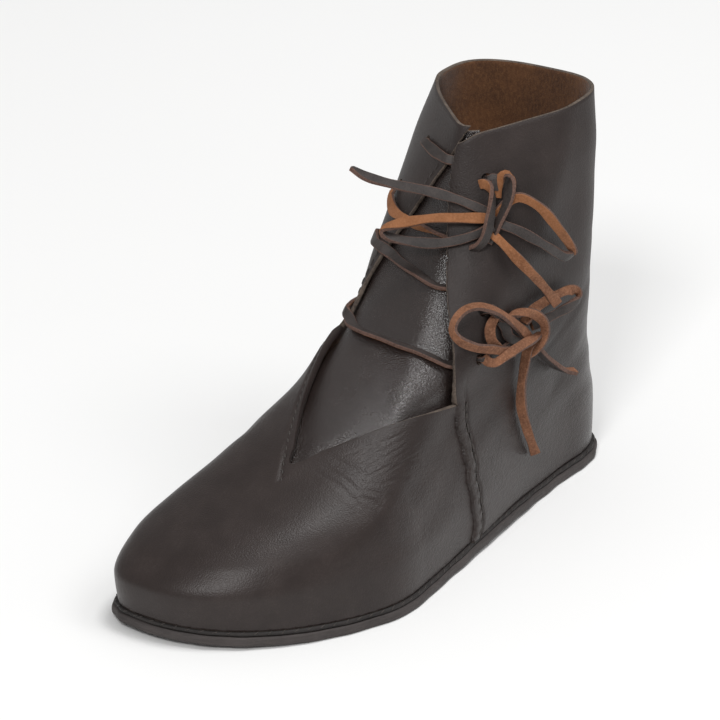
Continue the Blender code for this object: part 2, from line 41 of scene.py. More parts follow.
mm = 0.001
mergeGap = 2e-6  # m
stand = np.array((1.3276, -0.44, 0.0))  # the last's own frame to the boot on the floor, mm

# camera: long lens, from the toe's outer side and above
cameraSpec = {
    "azimuth": 36.384, "elevation": 27.02, "distance": 2693.1,
    "lens": 296.0, "sensor": 36.0, "farthest": 50.0,
    "aim": (-10.0, 80.0),  # right and up from the origin, mm
}


def makeCamera(spec):
    a = math.radians(spec["azimuth"])
    e = math.radians(spec["elevation"])
    back = Vector((math.sin(a) * math.cos(e), -math.cos(a) * math.cos(e), math.sin(e)))
    right = Vector((math.cos(a), math.sin(a), 0))
    up = Vector((-math.sin(a) * math.sin(e), math.cos(a) * math.sin(e), math.cos(e)))
    move = Vector(stand)
    place = (back * spec["distance"] + move) * mm
    target = (right * spec["aim"][0] + up * spec["aim"][1] + move) * mm
    data = bpy.data.cameras.new("bootCamera")
    data.lens = spec["lens"]
    data.sensor_width = spec["sensor"]
    data.clip_end = spec["farthest"]
    camera = bpy.data.objects.new("bootCamera", data)
    camera.location = place
    camera.rotation_mode = "QUATERNION"
    camera.rotation_quaternion = (target - place).to_track_quat("-Z", "Y")
    bpy.context.collection.objects.link(camera)
    bpy.context.scene.camera = camera


makeCamera(cameraSpec)
print("camera: set")


# shader maths: a wrapped socket takes + - and *
class Wire:
    def __init__(self, tree, socket):
        self.tree = tree
        self.socket = socket

    def maths(self, operation, first, second):
        node = self.tree.nodes.new("ShaderNodeMath")
        node.operation = operation
        for place, item in zip(node.inputs, (first, second)):
            if isinstance(item, Wire):
                self.tree.links.new(item.socket, place)
            else:
                place.default_value = item
        return Wire(self.tree, node.outputs[0])

    def __add__(self, other):
        return self.maths("ADD", self, other)

    def __radd__(self, other):
        return self.maths("ADD", other, self)

    def __sub__(self, other):
        return self.maths("SUBTRACT", self, other)

    def __rsub__(self, other):
        return self.maths("SUBTRACT", other, self)

    def __mul__(self, other):
        return self.maths("MULTIPLY", self, other)

    def __rmul__(self, other):
        return self.maths("MULTIPLY", other, self)


class Finish:
    def __init__(self, name):
        self.material = bpy.data.materials.new(name)
        self.material.use_nodes = True
        self.tree = self.material.node_tree
        self.shader = self.tree.nodes["Principled BSDF"]
        self.place = self.make("ShaderNodeTexCoord", output="Object")

    def make(self, kind, settings=None, sockets=None, output=0):
        node = self.tree.nodes.new(kind)
        for key, value in (settings or {}).items():
            setattr(node, key, value)
        for key, value in (sockets or {}).items():
            if isinstance(value, Wire):
                self.tree.links.new(value.socket, node.inputs[key])
            else:
                node.inputs[key].default_value = value
        return Wire(self.tree, node.outputs[output])

    def noise(self, scale, detail, rough, at=None):
        return self.make("ShaderNodeTexNoise", None, {
            "Vector": at or self.place, "Scale": scale, "Detail": detail, "Roughness": rough})

    def cells(self, scale):
        return self.make("ShaderNodeTexVoronoi", None, {"Vector": self.place, "Scale": scale})

    def stretch(self, turn, scale):
        return self.make("ShaderNodeMapping", None, {"Vector": self.place, "Rotation": turn, "Scale": scale})

    def axis(self, index):
        return self.make("ShaderNodeSeparateXYZ", None, {0: self.place}, index)

    def ridge(self, value):  # highest where a noise crosses its middle
        return 1 - self.make("ShaderNodeMath", {"operation": "ABSOLUTE"}, {0: (value - 0.5) * 2})

    def span(self, value, low, high, start=0.0, end=1.0):
        return self.make("ShaderNodeMapRange", None, {
            "Value": value, "From Min": low, "From Max": high, "To Min": start, "To Max": end})

    def blend(self, share, first, second):
        first = (*first, 1) if isinstance(first, tuple) else first
        second = (*second, 1) if isinstance(second, tuple) else second
        return self.make("ShaderNodeMix", {"data_type": "RGBA"}, {0: share, 6: first, 7: second}, 2)

    def done(self, colour, rough, height=None, depth=0.0, strength=0.0, **fixed):
        self.tree.links.new(colour.socket, self.shader.inputs["Base Color"])
        if isinstance(rough, Wire):
            self.tree.links.new(rough.socket, self.shader.inputs["Roughness"])
        else:
            self.shader.inputs["Roughness"].default_value = rough
        if height is not None:
            bump = self.make("ShaderNodeBump", None, {
                "Height": height, "Distance": depth, "Strength": strength})
            self.tree.links.new(bump.socket, self.shader.inputs["Normal"])
        for key, value in fixed.items():
            self.shader.inputs[key.replace("_", " ")].default_value = value
        return self.material


# finishes: colours; noises as scale, detail, roughness; spans as from, to; bump as depth in m, strength
leatherSpec = {
    "deep": (0.0205, 0.0141, 0.0126), "plain": (0.0330, 0.0236, 0.0212), "worn": (0.055, 0.0435, 0.0400),
    "cloud": (22, 4, 0.6), "patch": (75, 3, 0.55), "fine": (2600, 3, 0.6), "pebble": 1350,
    "lines": (480, 5, 0.62), "linesTurn": (0.2, 0.1, 0.5), "linesAlong": (1.0, 0.28, 0.55),
    "upright": (420, 4, 0.6), "uprightAlong": (1.0, 1.0, 0.12),  # drawn-up wrinkles of the leg
    "toe": (-0.080, -0.035), "leg": (0.045, 0.105),  # m along and up
    "foldSpan": (0.80, 1.0), "foldShadeShare": 0.30, "legFold": 0.5, "toeFold": 0.08, "flexFold": 0.26,
    "shadeSpan": (0.36, 0.66), "wornSpan": (0.30, 0.62), "wornShare": 0.30,
    "roughSpan": (0.3, 0.7, 0.23, 0.36), "toeDull": 0.08, "legDull": 0.20, "gloss": 0.33,
    "toeGrain": 0.55, "bump": (0.00040, 0.46),
}
panelLeatherSpec = dict(
    leatherSpec, plain=(0.0280, 0.0203, 0.0184), linesTurn=(0.5, 0.3, 1.1),
    roughSpan=(0.3, 0.7, 0.16, 0.27), legDull=0.04, gloss=0.70, bump=(0.00040, 0.72))
noTurn = (0, 0, 0)


def grainLeather(name, spec):
    f = Finish(name)
    cloud = f.noise(*spec["cloud"])
    patch = f.noise(*spec["patch"])
    fine = f.noise(*spec["fine"])
    pebble = f.cells(spec["pebble"])
    lines = f.noise(*spec["lines"], f.stretch(spec["linesTurn"], spec["linesAlong"]))
    upright = f.noise(*spec["upright"], f.stretch(noTurn, spec["uprightAlong"]))
    leg = f.span(f.axis(2), *spec["leg"])
    flex = f.span(f.axis(1), *spec["toe"])
    fold = f.span(f.ridge(lines), *spec["foldSpan"]) * (1 - leg)
    fold = fold + f.span(f.ridge(upright), *spec["foldSpan"]) * leg * spec["legFold"]
    shade = f.span(cloud * 0.6 + patch * 0.4, *spec["shadeSpan"])
    colour = f.blend(shade, spec["deep"], spec["plain"])
    colour = f.blend(f.span(patch * pebble, *spec["wornSpan"]) * spec["wornShare"], colour, spec["worn"])
    # painted shade: the colour is pulled towards deep along the crease lines
    colour = f.blend(fold * spec["foldShadeShare"], colour, spec["deep"])
    rough = f.span(cloud * 0.5 + fine * 0.5, *spec["roughSpan"])
    rough = rough + (1 - flex) * spec["toeDull"] + leg * spec["legDull"]
    grain = (pebble * -0.62 + fine * 0.24) * (spec["toeGrain"] + flex * (1 - spec["toeGrain"]))
    height = grain - fold * (spec["toeFold"] + flex * spec["flexFold"]) + patch * 0.25
    return f.done(colour, rough, height, *spec["bump"], Specular_IOR_Level=spec["gloss"])


suedeSpec = {
    "deep": (0.060, 0.0205, 0.0056), "plain": (0.133, 0.051, 0.0156), "pale": (0.25, 0.112, 0.039),
    "nap": (1500, 4, 0.7), "cloud": (45, 4, 0.6),
    "fibre": (900, 3, 0.6), "fibreTurn": (0.3, 0.2, 0.8), "fibreAlong": (1.0, 0.2, 0.5),
    "cloudSpan": (0.32, 0.68), "paleSpan": (0.45, 0.72), "paleShare": 0.6,
    "rough": 0.92, "sheen": 0.25, "sheenRough": 0.5, "bump": (0.0006, 0.7),
}


def fleshSuede(name, spec):
    f = Finish(name)
    nap = f.noise(*spec["nap"])
    cloud = f.noise(*spec["cloud"])
    fibre = f.noise(*spec["fibre"], f.stretch(spec["fibreTurn"], spec["fibreAlong"]))
    colour = f.blend(f.span(cloud, *spec["cloudSpan"]), spec["deep"], spec["plain"])
    pale = f.span(nap * 0.5 + fibre * 0.5, *spec["paleSpan"]) * spec["paleShare"]
    colour = f.blend(pale, colour, spec["pale"])
    return f.done(colour, spec["rough"], nap * 0.6 + fibre * 0.6, *spec["bump"],
                  Sheen_Weight=spec["sheen"], Sheen_Roughness=spec["sheenRough"])


edgeSpec = {
    "deep": (0.042, 0.031, 0.025), "pale": (0.180, 0.138, 0.108),
    "fibre": (1300, 4, 0.7), "cloud": (120, 3, 0.6), "paleSpan": (0.38, 0.66),
    "rough": 0.88, "bump": (0.0005, 0.7),
}


def cutEdge(name, spec):
    f = Finish(name)
    fibre = f.noise(*spec["fibre"])
    cloud = f.noise(*spec["cloud"])
    colour = f.blend(f.span(fibre * 0.6 + cloud * 0.4, *spec["paleSpan"]), spec["deep"], spec["pale"])
    return f.done(colour, spec["rough"], fibre, *spec["bump"])


soleSpec = {
    "deep": (0.030, 0.0240, 0.0230), "plain": (0.064, 0.053, 0.050), "pale": (0.135, 0.113, 0.104),
    "layers": (700, 4, 0.65), "layersAlong": (0.16, 0.16, 1.6), "cloud": (60, 4, 0.6),
    "scuff": (380, 5, 0.7), "scuffTurn": (0, 0, 0.6), "scuffAlong": (0.3, 1.0, 1.0),
    "layerSpan": (0.36, 0.66), "paleSpan": (0.60, 0.74), "paleShare": 0.45,
    "roughSpan": (0.3, 0.7, 0.58, 0.80), "bump": (0.0005, 0.6),
}
weltSpec = dict(soleSpec, deep=(0.009, 0.007, 0.0065), plain=(0.022, 0.0175, 0.016),
                pale=(0.050, 0.041, 0.037))


def soleLeather(name, spec):
    f = Finish(name)
    layers = f.noise(*spec["layers"], f.stretch(noTurn, spec["layersAlong"]))
    cloud = f.noise(*spec["cloud"])
    scuff = f.noise(*spec["scuff"], f.stretch(spec["scuffTurn"], spec["scuffAlong"]))
    colour = f.blend(f.span(layers * 0.6 + cloud * 0.4, *spec["layerSpan"]), spec["deep"], spec["plain"])
    colour = f.blend(f.span(scuff, *spec["paleSpan"]) * spec["paleShare"], colour, spec["pale"])
    rough = f.span(scuff, *spec["roughSpan"])
    return f.done(colour, rough, layers * 0.7 + scuff * 0.5, *spec["bump"])


threadSpec = {
    "deep": (0.010, 0.008, 0.007), "plain": (0.066, 0.052, 0.045),
    "twist": (1900, 3, 0.6), "plainSpan": (0.35, 0.7), "rough": 0.55, "bump": (0.0003, 0.5),
}


def waxThread(name, spec):
    f = Finish(name)
    twist = f.noise(*spec["twist"])
    colour = f.blend(f.span(twist, *spec["plainSpan"]), spec["deep"], spec["plain"])
    return f.done(colour, spec["rough"], twist, *spec["bump"])


thongSpec = {
    "grainDeep": (0.013, 0.0092, 0.0080), "grainPlain": (0.050, 0.038, 0.034),
    "edgeDeep": (0.055, 0.027, 0.0190), "edgePale": (0.180, 0.102, 0.077),
    "fleshDeep": (0.092, 0.034, 0.0160), "fleshPlain": (0.255, 0.108, 0.052),
    "fleshPale": (0.46, 0.235, 0.135), "fleshWarm": (0.36, 0.135, 0.036),
    "fibre": (1400, 4, 0.65), "cloud": (140, 4, 0.6), "scuff": (900, 4, 0.7), "scuffed": 0.4,
    "grainSpan": (0.36, 0.66), "fleshSpan": (0.34, 0.66), "paleSpan": (0.46, 0.76), "paleShare": 0.5,
    "warmSpan": (0.112, 0.136), "warmShare": 0.40,  # m up: the upper bow is warmer
    "sideSpan": (0.1, 0.3), "faceSpan": (0.66, 0.84),  # of the mark on the faces
    "roughSpan": (0.0, 1.0, 0.88, 0.56), "bump": (0.0004, 0.7),
}


def thongLeather(name, spec):
    f = Finish(name)
    face = f.make("ShaderNodeAttribute", {"attribute_name": "grainFace"}, None, "Fac")
    fibre = f.noise(*spec["fibre"])
    cloud = f.noise(*spec["cloud"])
    scuff = f.noise(*spec["scuff"])
    grain = f.span(cloud * 0.5 + fibre * 0.5, *spec["grainSpan"])
    grain = f.blend(grain, spec["grainDeep"], spec["grainPlain"])
    flesh = f.span(cloud * 0.55 + fibre * 0.45, *spec["fleshSpan"])
    flesh = f.blend(flesh, spec["fleshDeep"], spec["fleshPlain"])
    flesh = f.blend(f.span(scuff, *spec["paleSpan"]) * spec["paleShare"], flesh, spec["fleshPale"])
    flesh = f.blend(f.span(f.axis(2), *spec["warmSpan"]) * spec["warmShare"], flesh, spec["fleshWarm"])
    side = f.span(fibre * 0.5 + scuff * 0.5, *spec["grainSpan"])
    side = f.blend(side, spec["edgeDeep"], spec["edgePale"])
    share = f.span(face + (scuff - 0.5) * spec["scuffed"], *spec["faceSpan"])
    colour = f.blend(share, f.blend(f.span(face, *spec["sideSpan"]), flesh, side), grain)
    rough = f.span(share, *spec["roughSpan"])
    return f.done(colour, rough, fibre * 0.8 + scuff * 0.5, *spec["bump"])


finishes = {
    "upper": grainLeather("upperLeather", leatherSpec),
    "panel": grainLeather("panelLeather", panelLeatherSpec),
    "suede": fleshSuede("fleshSuede", suedeSpec),
    "edge": cutEdge("cutEdge", edgeSpec),
    "sole": soleLeather("soleLeather", soleSpec),
    "welt": soleLeather("weltLeather", weltSpec),
    "thread": waxThread("waxThread", threadSpec),
    "thong": thongLeather("thongLeather", thongSpec),
}
print("finishes:", len(finishes))

# the last: horizontal levels, each a closed line round the foot
lastSpec = {
    "length": 280.0, "ballWidth": 104.0, "collarHeight": 185.0, "footLevel": 8.0, "heelPower": 2.3,
    "toeSwing": 28.0, "swingStart": -40.0, "swingReach": 100.0, "swingMost": 1.5, "swingPower": 1.65,
    "toeSpring": 2.5, "springSpan": (-70.0, -140.0), "archRise": 1.5, "archCentre": 30.0, "archReach": 55.0,
    "softCorner": 3.5, "softSpan": (120.0, 175.0), "shiftSpan": (60.0, 0.0),
    "soleColumns": ("along", "outer", "inner"),
    "soleRows": (
        (0.000, 0.414, 0.320),
        (0.143, 0.472, 0.425),
        (0.286, 0.525, 0.451),
        (0.375, 0.494, 0.441),
        (0.500, 0.445, 0.367),
        (0.625, 0.398, 0.305),
        (0.750, 0.345, 0.301),
        (0.875, 0.316, 0.311),
        (1.000, 0.330, 0.312),
    ),
    "levelColumns": ("up", "front", "back", "toeRound", "heelRound", "toeBlunt", "legOuter", "legInner",
                     "blend", "shift"),
    "levelRows": (
        (0.0000, 0.007, 0.993, 0.215, 0.129, 2.7, 0.313, 0.313, 0.00, 0.0),
        (0.0500, 0.001, 1.002, 0.215, 0.129, 2.7, 0.313, 0.313, 0.00, 0.0),
        (0.1250, -0.005, 1.004, 0.208, 0.129, 2.7, 0.313, 0.313, 0.05, 0.0),
        (0.1875, 0.032, 1.002, 0.203, 0.129, 2.7, 0.313, 0.313, 0.15, -1.0),
        (0.2375, 0.099, 0.995, 0.199, 0.129, 2.7, 0.313, 0.310, 0.25, -2.0),
        (0.2875, 0.184, 0.991, 0.194, 0.132, 2.7, 0.313, 0.302, 0.38, -3.0),
        (0.3375, 0.261, 0.987, 0.185, 0.132, 2.65, 0.313, 0.290, 0.50, -4.0),
        (0.3875, 0.342, 0.987, 0.178, 0.132, 2.55, 0.314, 0.288, 0.62, -4.0),
        (0.4500, 0.429, 0.989, 0.164, 0.131, 2.6, 0.317, 0.315, 0.75, -4.0),
        (0.5250, 0.523, 0.990, 0.152, 0.125, 2.5, 0.317, 0.352, 0.87, -3.5),
        (0.6125, 0.594, 0.993, 0.140, 0.121, 2.25, 0.315, 0.416, 1.00, -3.0),
        (0.7200, 0.650, 0.995, 0.146, 0.113, 1.91, 0.311, 0.465, 1.00, -1.0),
        (0.8450, 0.687, 0.998, 0.155, 0.105, 1.53, 0.308, 0.479, 1.00, 0.0),
        (1.0000, 0.717, 1.007, 0.170, 0.083, 1.14, 0.252, 0.451, 1.00, 0.0),
    ),
    # seams: distance round the foot from the front centre line at each height
    "seamColumns": ("height", "flap", "inner"),
    "seamRows": (
        (6.0, 189.0, 168.5),
        (17.0, 194.0, 169.6),
        (25.0, 192.0, 169.6),
        (40.0, 169.0, 154.2),
        (50.0, 141.0, 130.5),
        (60.0, 111.0, 106.0),
        (73.0, 74.0, 74.5),
        (82.0, 54.0, 55.0),
        (92.0, 38.5, 40.0),
        (108.0, 21.0, 33.0),
        (122.0, 11.5, 28.5),
        (137.0, 5.0, 21.5),
        (153.0, 1.0, 13.0),
        (165.0, 0.0, 5.8),
        (175.0, 0.0, 0.4),
        (182.0, 0.0, -4.0),
        (190.0, 0.0, -8.0),
    ),
    "throatColumns": ("share", "height"),
    "throatRows": (
        (-1.0, 90.0), (-0.75, 88.0), (-0.5, 84.0), (-0.3, 78.5), (-0.12, 71.5), (0.0, 66.0), (0.06, 62.5),
        (0.16, 67.0), (0.28, 70.6), (0.45, 73.8), (0.65, 74.8), (1.0, 72.0),
    ),
    "collarColumns": ("round", "height"),
    "collarRows": (
        (0.0, 173.4), (0.03, 178.0), (0.07, 179.4), (0.15, 181.2), (0.3, 182.6), (0.5, 180.8),
        (0.75, 180.6), (0.92, 182.0), (1.0, 181.4),
    ),
}


def softCurve(xs, ys):
    step = np.diff(xs)
    rise = np.diff(ys) / step
    slope = np.zeros(len(xs))
    for i in range(1, len(xs) - 1):
        if rise[i - 1] * rise[i] > 0:  # keeps the curve from overshooting
            a = 2 * step[i] + step[i - 1]
            b = step[i] + 2 * step[i - 1]
            slope[i] = (a + b) / (a / rise[i - 1] + b / rise[i])
    slope[0] = rise[0]
    slope[-1] = rise[-1]

    def curve(x):
        x = np.clip(x, xs[0], xs[-1])
        i = np.clip(np.searchsorted(xs, x) - 1, 0, len(xs) - 2)
        h = step[i]
        t = (x - xs[i]) / h
        return (ys[i] * (1 + 2 * t) * (1 - t) ** 2 + slope[i] * h * t * (1 - t) ** 2
                + ys[i + 1] * t * t * (3 - 2 * t) + slope[i + 1] * h * t * t * (t - 1))
    return curve


def curveSet(kind, scales):
    names = lastSpec[kind + "Columns"]
    rows = np.array(lastSpec[kind + "Rows"], float)
    key = rows[:, 0] * scales[0][0] + scales[0][1]
    return {name: softCurve(key, rows[:, i + 1] * gain + base)
            for i, (name, (gain, base)) in enumerate(zip(names[1:], scales[1:]))}


along = (lastSpec["length"], -lastSpec["length"] / 2)
wide = (lastSpec["ballWidth"], 0)
plain = (1, 0)
soleCurves = curveSet("sole", (along, wide, wide))
levelCurves = curveSet("level", ((lastSpec["collarHeight"], 0), along, along, (lastSpec["length"], 0),
                                 (lastSpec["length"], 0), plain, wide, wide, plain, plain))
seamCurves = curveSet("seam", (plain, plain, (-1, 0)))
throatHeight = curveSet("throat", (plain, plain))["height"]
collarHeight = curveSet("collar", (plain, plain))["height"]
flapLine = seamCurves["flap"]
innerLine = seamCurves["inner"]


def ramp(value, start, end):
    return np.clip((value - start) / (end - start), 0, 1)


def floorLift(y):
    toe = lastSpec["toeSpring"] * ramp(y, *lastSpec["springSpan"]) ** 2
    arch = np.clip((y - lastSpec["archCentre"]) / lastSpec["archReach"], -1, 1)
    return toe + lastSpec["archRise"] * (1 + np.cos(np.pi * arch)) / 2


def levelSides(z, theta, grow=0.0):
    front = levelCurves["front"](z) - grow
    back = levelCurves["back"](z) + grow
    y = front + (back - front) * (1 - np.cos(theta)) / 2
    share = levelCurves["blend"](z)
    outer = soleCurves["outer"](y) * (1 - share) + levelCurves["legOuter"](z) * share + grow
    inner = soleCurves["inner"](y) * (1 - share) + levelCurves["legInner"](z) * share + grow
    toe = np.clip((y - front) / levelCurves["toeRound"](z), 0, 1)
    heel = np.clip((back - y) / levelCurves["heelRound"](z), 0, 1)
    blunt = levelCurves["toeBlunt"](z)
    power = lastSpec["heelPower"]
    ends = (1 - (1 - toe) ** blunt) ** (1 / blunt) * (1 - (1 - heel) ** power) ** (1 / power)
    swing = np.clip((lastSpec["swingStart"] - y) / lastSpec["swingReach"], 0, lastSpec["swingMost"])
    centre = levelCurves["shift"](z) * ramp(y, *lastSpec["shiftSpan"])
    centre = centre - lastSpec["toeSwing"] * swing ** lastSpec["swingPower"]
    return centre + outer * ends, centre - inner * ends, y


class Last:
    def __init__(self, top=197.0, step=0.5, reach=(-330.0, 620.0), corners=361):
        self.step = step
        self.start = reach[0]
        self.heights = np.arange(0, top, step)
        self.rounds = np.arange(reach[0], reach[1], step)
        theta = np.linspace(0, np.pi, corners)
        self.girth = []
        self.grid = np.zeros((len(self.heights), len(self.rounds), 2))
        for k, z in enumerate(self.heights):
            outer, inner, y = levelSides(z, theta)
            out = np.concatenate(([0], np.cumsum(np.hypot(np.diff(outer), np.diff(y)))))
            inn = np.concatenate(([0], np.cumsum(np.hypot(np.diff(inner), np.diff(y)))))
            line = np.concatenate((-inn[:0:-1], out))
            total = out[-1] + inn[-1]
            spot = (self.rounds + inn[-1]) % total - inn[-1]
            soft = lastSpec["softCorner"] * ramp(z, *lastSpec["softSpan"])
            self.grid[k, :, 0] = self.eased(spot, line, np.concatenate((inner[:0:-1], outer)), soft)
            self.grid[k, :, 1] = self.eased(spot, line, np.concatenate((y[:0:-1], y)), soft)
            self.girth.append(total)

    def eased(self, spot, line, values, soft):
        total = line[-1] - line[0]
        count = int(total)
        even = np.arange(count) * total / count
        wave = np.fft.rfft(np.interp(even, line - line[0], values))
        wave *= np.exp(-2 * (np.pi * soft * np.fft.rfftfreq(count, total / count)) ** 2)
        return np.interp((spot - line[0]) % total, even, np.fft.irfft(wave, count), period=total)

    def round(self, z):
        return np.interp(z, self.heights, self.girth)

    def skin(self, s, z, inside=1.001):
        s, z = np.broadcast_arrays(np.asarray(s, float), np.asarray(z, float))
        fs = np.clip((s - self.start) / self.step, 0, len(self.rounds) - inside)
        fz = np.clip(z / self.step, 0, len(self.heights) - inside)
        a = fs.astype(int)
        b = fz.astype(int)
        ta = (fs - a)[..., None]
        tb = (fz - b)[..., None]
        low = self.grid[b, a] * (1 - ta) + self.grid[b, a + 1] * ta
        high = self.grid[b + 1, a] * (1 - ta) + self.grid[b + 1, a + 1] * ta
        return np.concatenate((low * (1 - tb) + high * tb, z[..., None]), axis=-1)

    def out(self, s, z, ds=1.0, dz=0.8):
        around = self.skin(s + ds, z) - self.skin(s - ds, z)
        up = self.skin(s, z + dz) - self.skin(s, z - dz)
        n = np.cross(around, up)
        return n / np.linalg.norm(n, axis=-1, keepdims=True)


last = Last()
print("last:", last.grid.shape)

upperSpec = {
    "wall": 2.0, "lapStep": 1.0, "innerStep": 0.6, "foot": 7.0, "rim": 0.42, "rimShares": (0.2, 0.8),
    "flapLift": 3.0, "flapFade": 30.0, "liftReach": 14.0, "sewnFade": 12.0, "innerFade": 8.0, "seamGap": 0.5,
    "frontColumns": 262, "rearColumns": 128, "lowRows": 100, "highRows": 54,
    "columnShares": (0.0, 0.237, 0.305, 0.924, 1.0), "columnPlaces": (-1.0, 0.0, 0.10, 0.80, 1.0),
    "rowShares": (0.0, 0.4, 1.0), "rowPlaces": (0.0, 0.6, 1.0),  # finer where it creases
    "edgeColumns": 14, "edgeStep": 0.0026, "edgeMore": (0.037, 0.042, 0.049), "edgeEnd": 0.056,
    "seamLine": 7.0, "seamGroove": 0.75, "grooveReach": 1.1,
    "seamRidge": 0.55, "ridgeAt": 3.2, "ridgeReach": 3.0, "ridgeFade": (6.0, -4.0),
    "ragged": 0.26, "raggedReach": 1.2, "raggedStep": 0.5,
    "uneven": 0.24, "reliefSpan": (14.0, 30.0), "insideRelief": 0.7,
    "lipShares": (-1.0, -0.9, -0.05, 0.06, 0.2, 1.0), "lips": (0.5, 1.2, 1.35, 0.6, 0.9, 0.8),
    "lipReach": 4.5, "lipRows": (0.5, 0.75), "slitEnd": 0.08,
    "throatSeam": 1.8, "throatStart": -0.97, "throatPast": 11.2,
    "throatGroove": 0.80, "throatGrooveWidth": 0.7,
    "holeWidth": 5.2, "holeBack": 15.0, "innerHoleBack": 24.0, "holeSides": 16, "punchReach": 9.0,
    "outerHoles": (88.0, 106.5, 134.0, 159.0), "innerHoles": (95.0, 119.0, 142.0, 165.0), "sharp": 50.0,
    "creaseTall": 1.6, "creaseBow": 0.04, "creaseTaper": 0.7, "creaseLip": 0.3, "creaseLipOff": 2.1,
    # soft creases: round and height of both ends, depth, half width
    "creases": (
        (29, 66.8, 44, 71.2, 0.24, 0.65), (38, 63.6, 53, 67.4, 0.26, 0.65), (56, 61.8, 75, 61.5, 0.22, 0.7),
        (44, 60.9, 56, 63.2, 0.24, 0.65), (17, 66.0, 48, 60.0, 0.25, 0.65), (20, 63.5, 50, 56.3, 0.25, 0.65),
        (17, 62.6, 46, 56.0, 0.23, 0.65), (43, 56.6, 59, 51.5, 0.20, 0.65), (48, 56.0, 75, 49.2, 0.22, 0.7),
        (50, 57.4, 73, 51.0, 0.20, 0.65), (22, 65.0, 49, 58.3, 0.22, 0.65), (50, 62.3, 84, 58.5, 0.18, 0.7),
        (55, 58.0, 82, 55.4, 0.18, 0.7), (24, 66.2, 38, 70.6, 0.20, 0.6), (33, 65.0, 48, 69.4, 0.20, 0.6),
        (34, 61.9, 47, 65.2, 0.18, 0.6), (48, 62.8, 62, 66.0, 0.20, 0.6), (53, 60.2, 66, 62.6, 0.18, 0.6),
        (60, 63.6, 72, 66.4, 0.16, 0.6), (-70, 46, -34, 64, 0.50, 3.0), (-96, 44, -52, 60, 0.45, 3.0),
        (182, 61, 228, 48, 0.40, 2.6), (176, 74, 214, 62, 0.40, 3.0), (138, 96, 150, 70, 0.35, 4.0),
        (110, 150, 118, 112, 0.25, 4.0), (122, 158, 128, 118, 0.25, 3.6), (134, 150, 142, 112, 0.25, 4.0),
        (-190, 70, -160, 62, 0.40, 3.6), (-176, 92, -150, 78, 0.35, 4.0), (-150, 120, -138, 94, 0.30, 4.5),
    ),
}
throatOuter = float(throatHeight(1.0))
throatInner = float(throatHeight(-1.0))


def fadeOut(distance):
    return np.exp(-(distance / upperSpec["flapFade"]) ** 2)


def flapLift(z):
    t = ramp(z, throatOuter, throatOuter + upperSpec["liftReach"])
    return upperSpec["flapLift"] * t * t * (3 - 2 * t)


def sewnOuter(z):
    return ramp(z, throatOuter + upperSpec["sewnFade"], throatOuter)


def sewnInner(z):
    return ramp(z, throatInner + upperSpec["innerFade"], throatInner - upperSpec["innerFade"])


def aboveFoot(z):
    return ramp(z, *upperSpec["reliefSpan"])


def creaseDepth(s, z):
    total = np.zeros(np.shape(s))
    tall = upperSpec["creaseTall"]
    for s0, z0, s1, z1, depth, width in upperSpec["creases"]:
        ds = s1 - s0
        dz = (z1 - z0) * tall
        size = math.hypot(ds, dz)
        a = ((s - s0) * ds + (z - z0) * tall * dz) / size ** 2
        arch = np.sin(np.clip(a, 0, 1) * np.pi)
        off = ((s - s0) * dz - (z - z0) * tall * ds) / size + upperSpec["creaseBow"] * size * arch
        taper = arch ** upperSpec["creaseTaper"]
        lip = np.abs(off) - upperSpec["creaseLipOff"] * width
        total -= depth * taper * np.exp(-(off / width) ** 2)
        total += upperSpec["creaseLip"] * depth * taper * np.exp(-(lip / width) ** 2)
    return total


def unevenness(s, z):  # two crossed waves, lengths in mm
    long = np.sin(s / 17 + z / 23) * np.sin(z / 19 - s / 41 + 1.3)
    short = np.sin(s / 9.1 - z / 13 + 0.7) * np.sin(z / 8.3 + s / 21)
    return upperSpec["uneven"] * (long + 0.5 * short)


def lipRise(share, below):  # the vamp's edge stands up a little along the throat
    lips = np.interp(share, upperSpec["lipShares"], upperSpec["lips"])
    return lips * np.exp(-(below / upperSpec["lipReach"]) ** 2)


def throatSeam():
    # a sewn line beside the slit, and straight on past its end: round and height
    share = np.linspace(upperSpec["throatStart"], 0.0, 60)
    z = throatHeight(share)
    s = -(innerLine(z) + upperSpec["seamGap"]) * share
    way = np.stack((np.gradient(s), np.gradient(z)), axis=1)
    way /= np.linalg.norm(way, axis=1, keepdims=True)
    line = np.stack((s, z), axis=1) + upperSpec["throatSeam"] * way[:, ::-1] * (1, -1)
    past = np.linspace(0, upperSpec["throatPast"], 15)[1:, None]
    return np.concatenate((line, line[-1] + past * way[-1]))


def throatGroove(s, z):
    nearest = np.full(np.shape(s), np.inf)
    for a, b in throatSeam():
        nearest = np.minimum(nearest, np.hypot(s - a, z - b))
    return upperSpec["throatGroove"] * np.exp(-(nearest / upperSpec["throatGrooveWidth"]) ** 2)


def cellsOf(ids):
    return np.stack((ids[:-1, :-1], ids[:-1, 1:], ids[1:, 1:], ids[1:, :-1]), axis=-1).reshape(-1, 4)


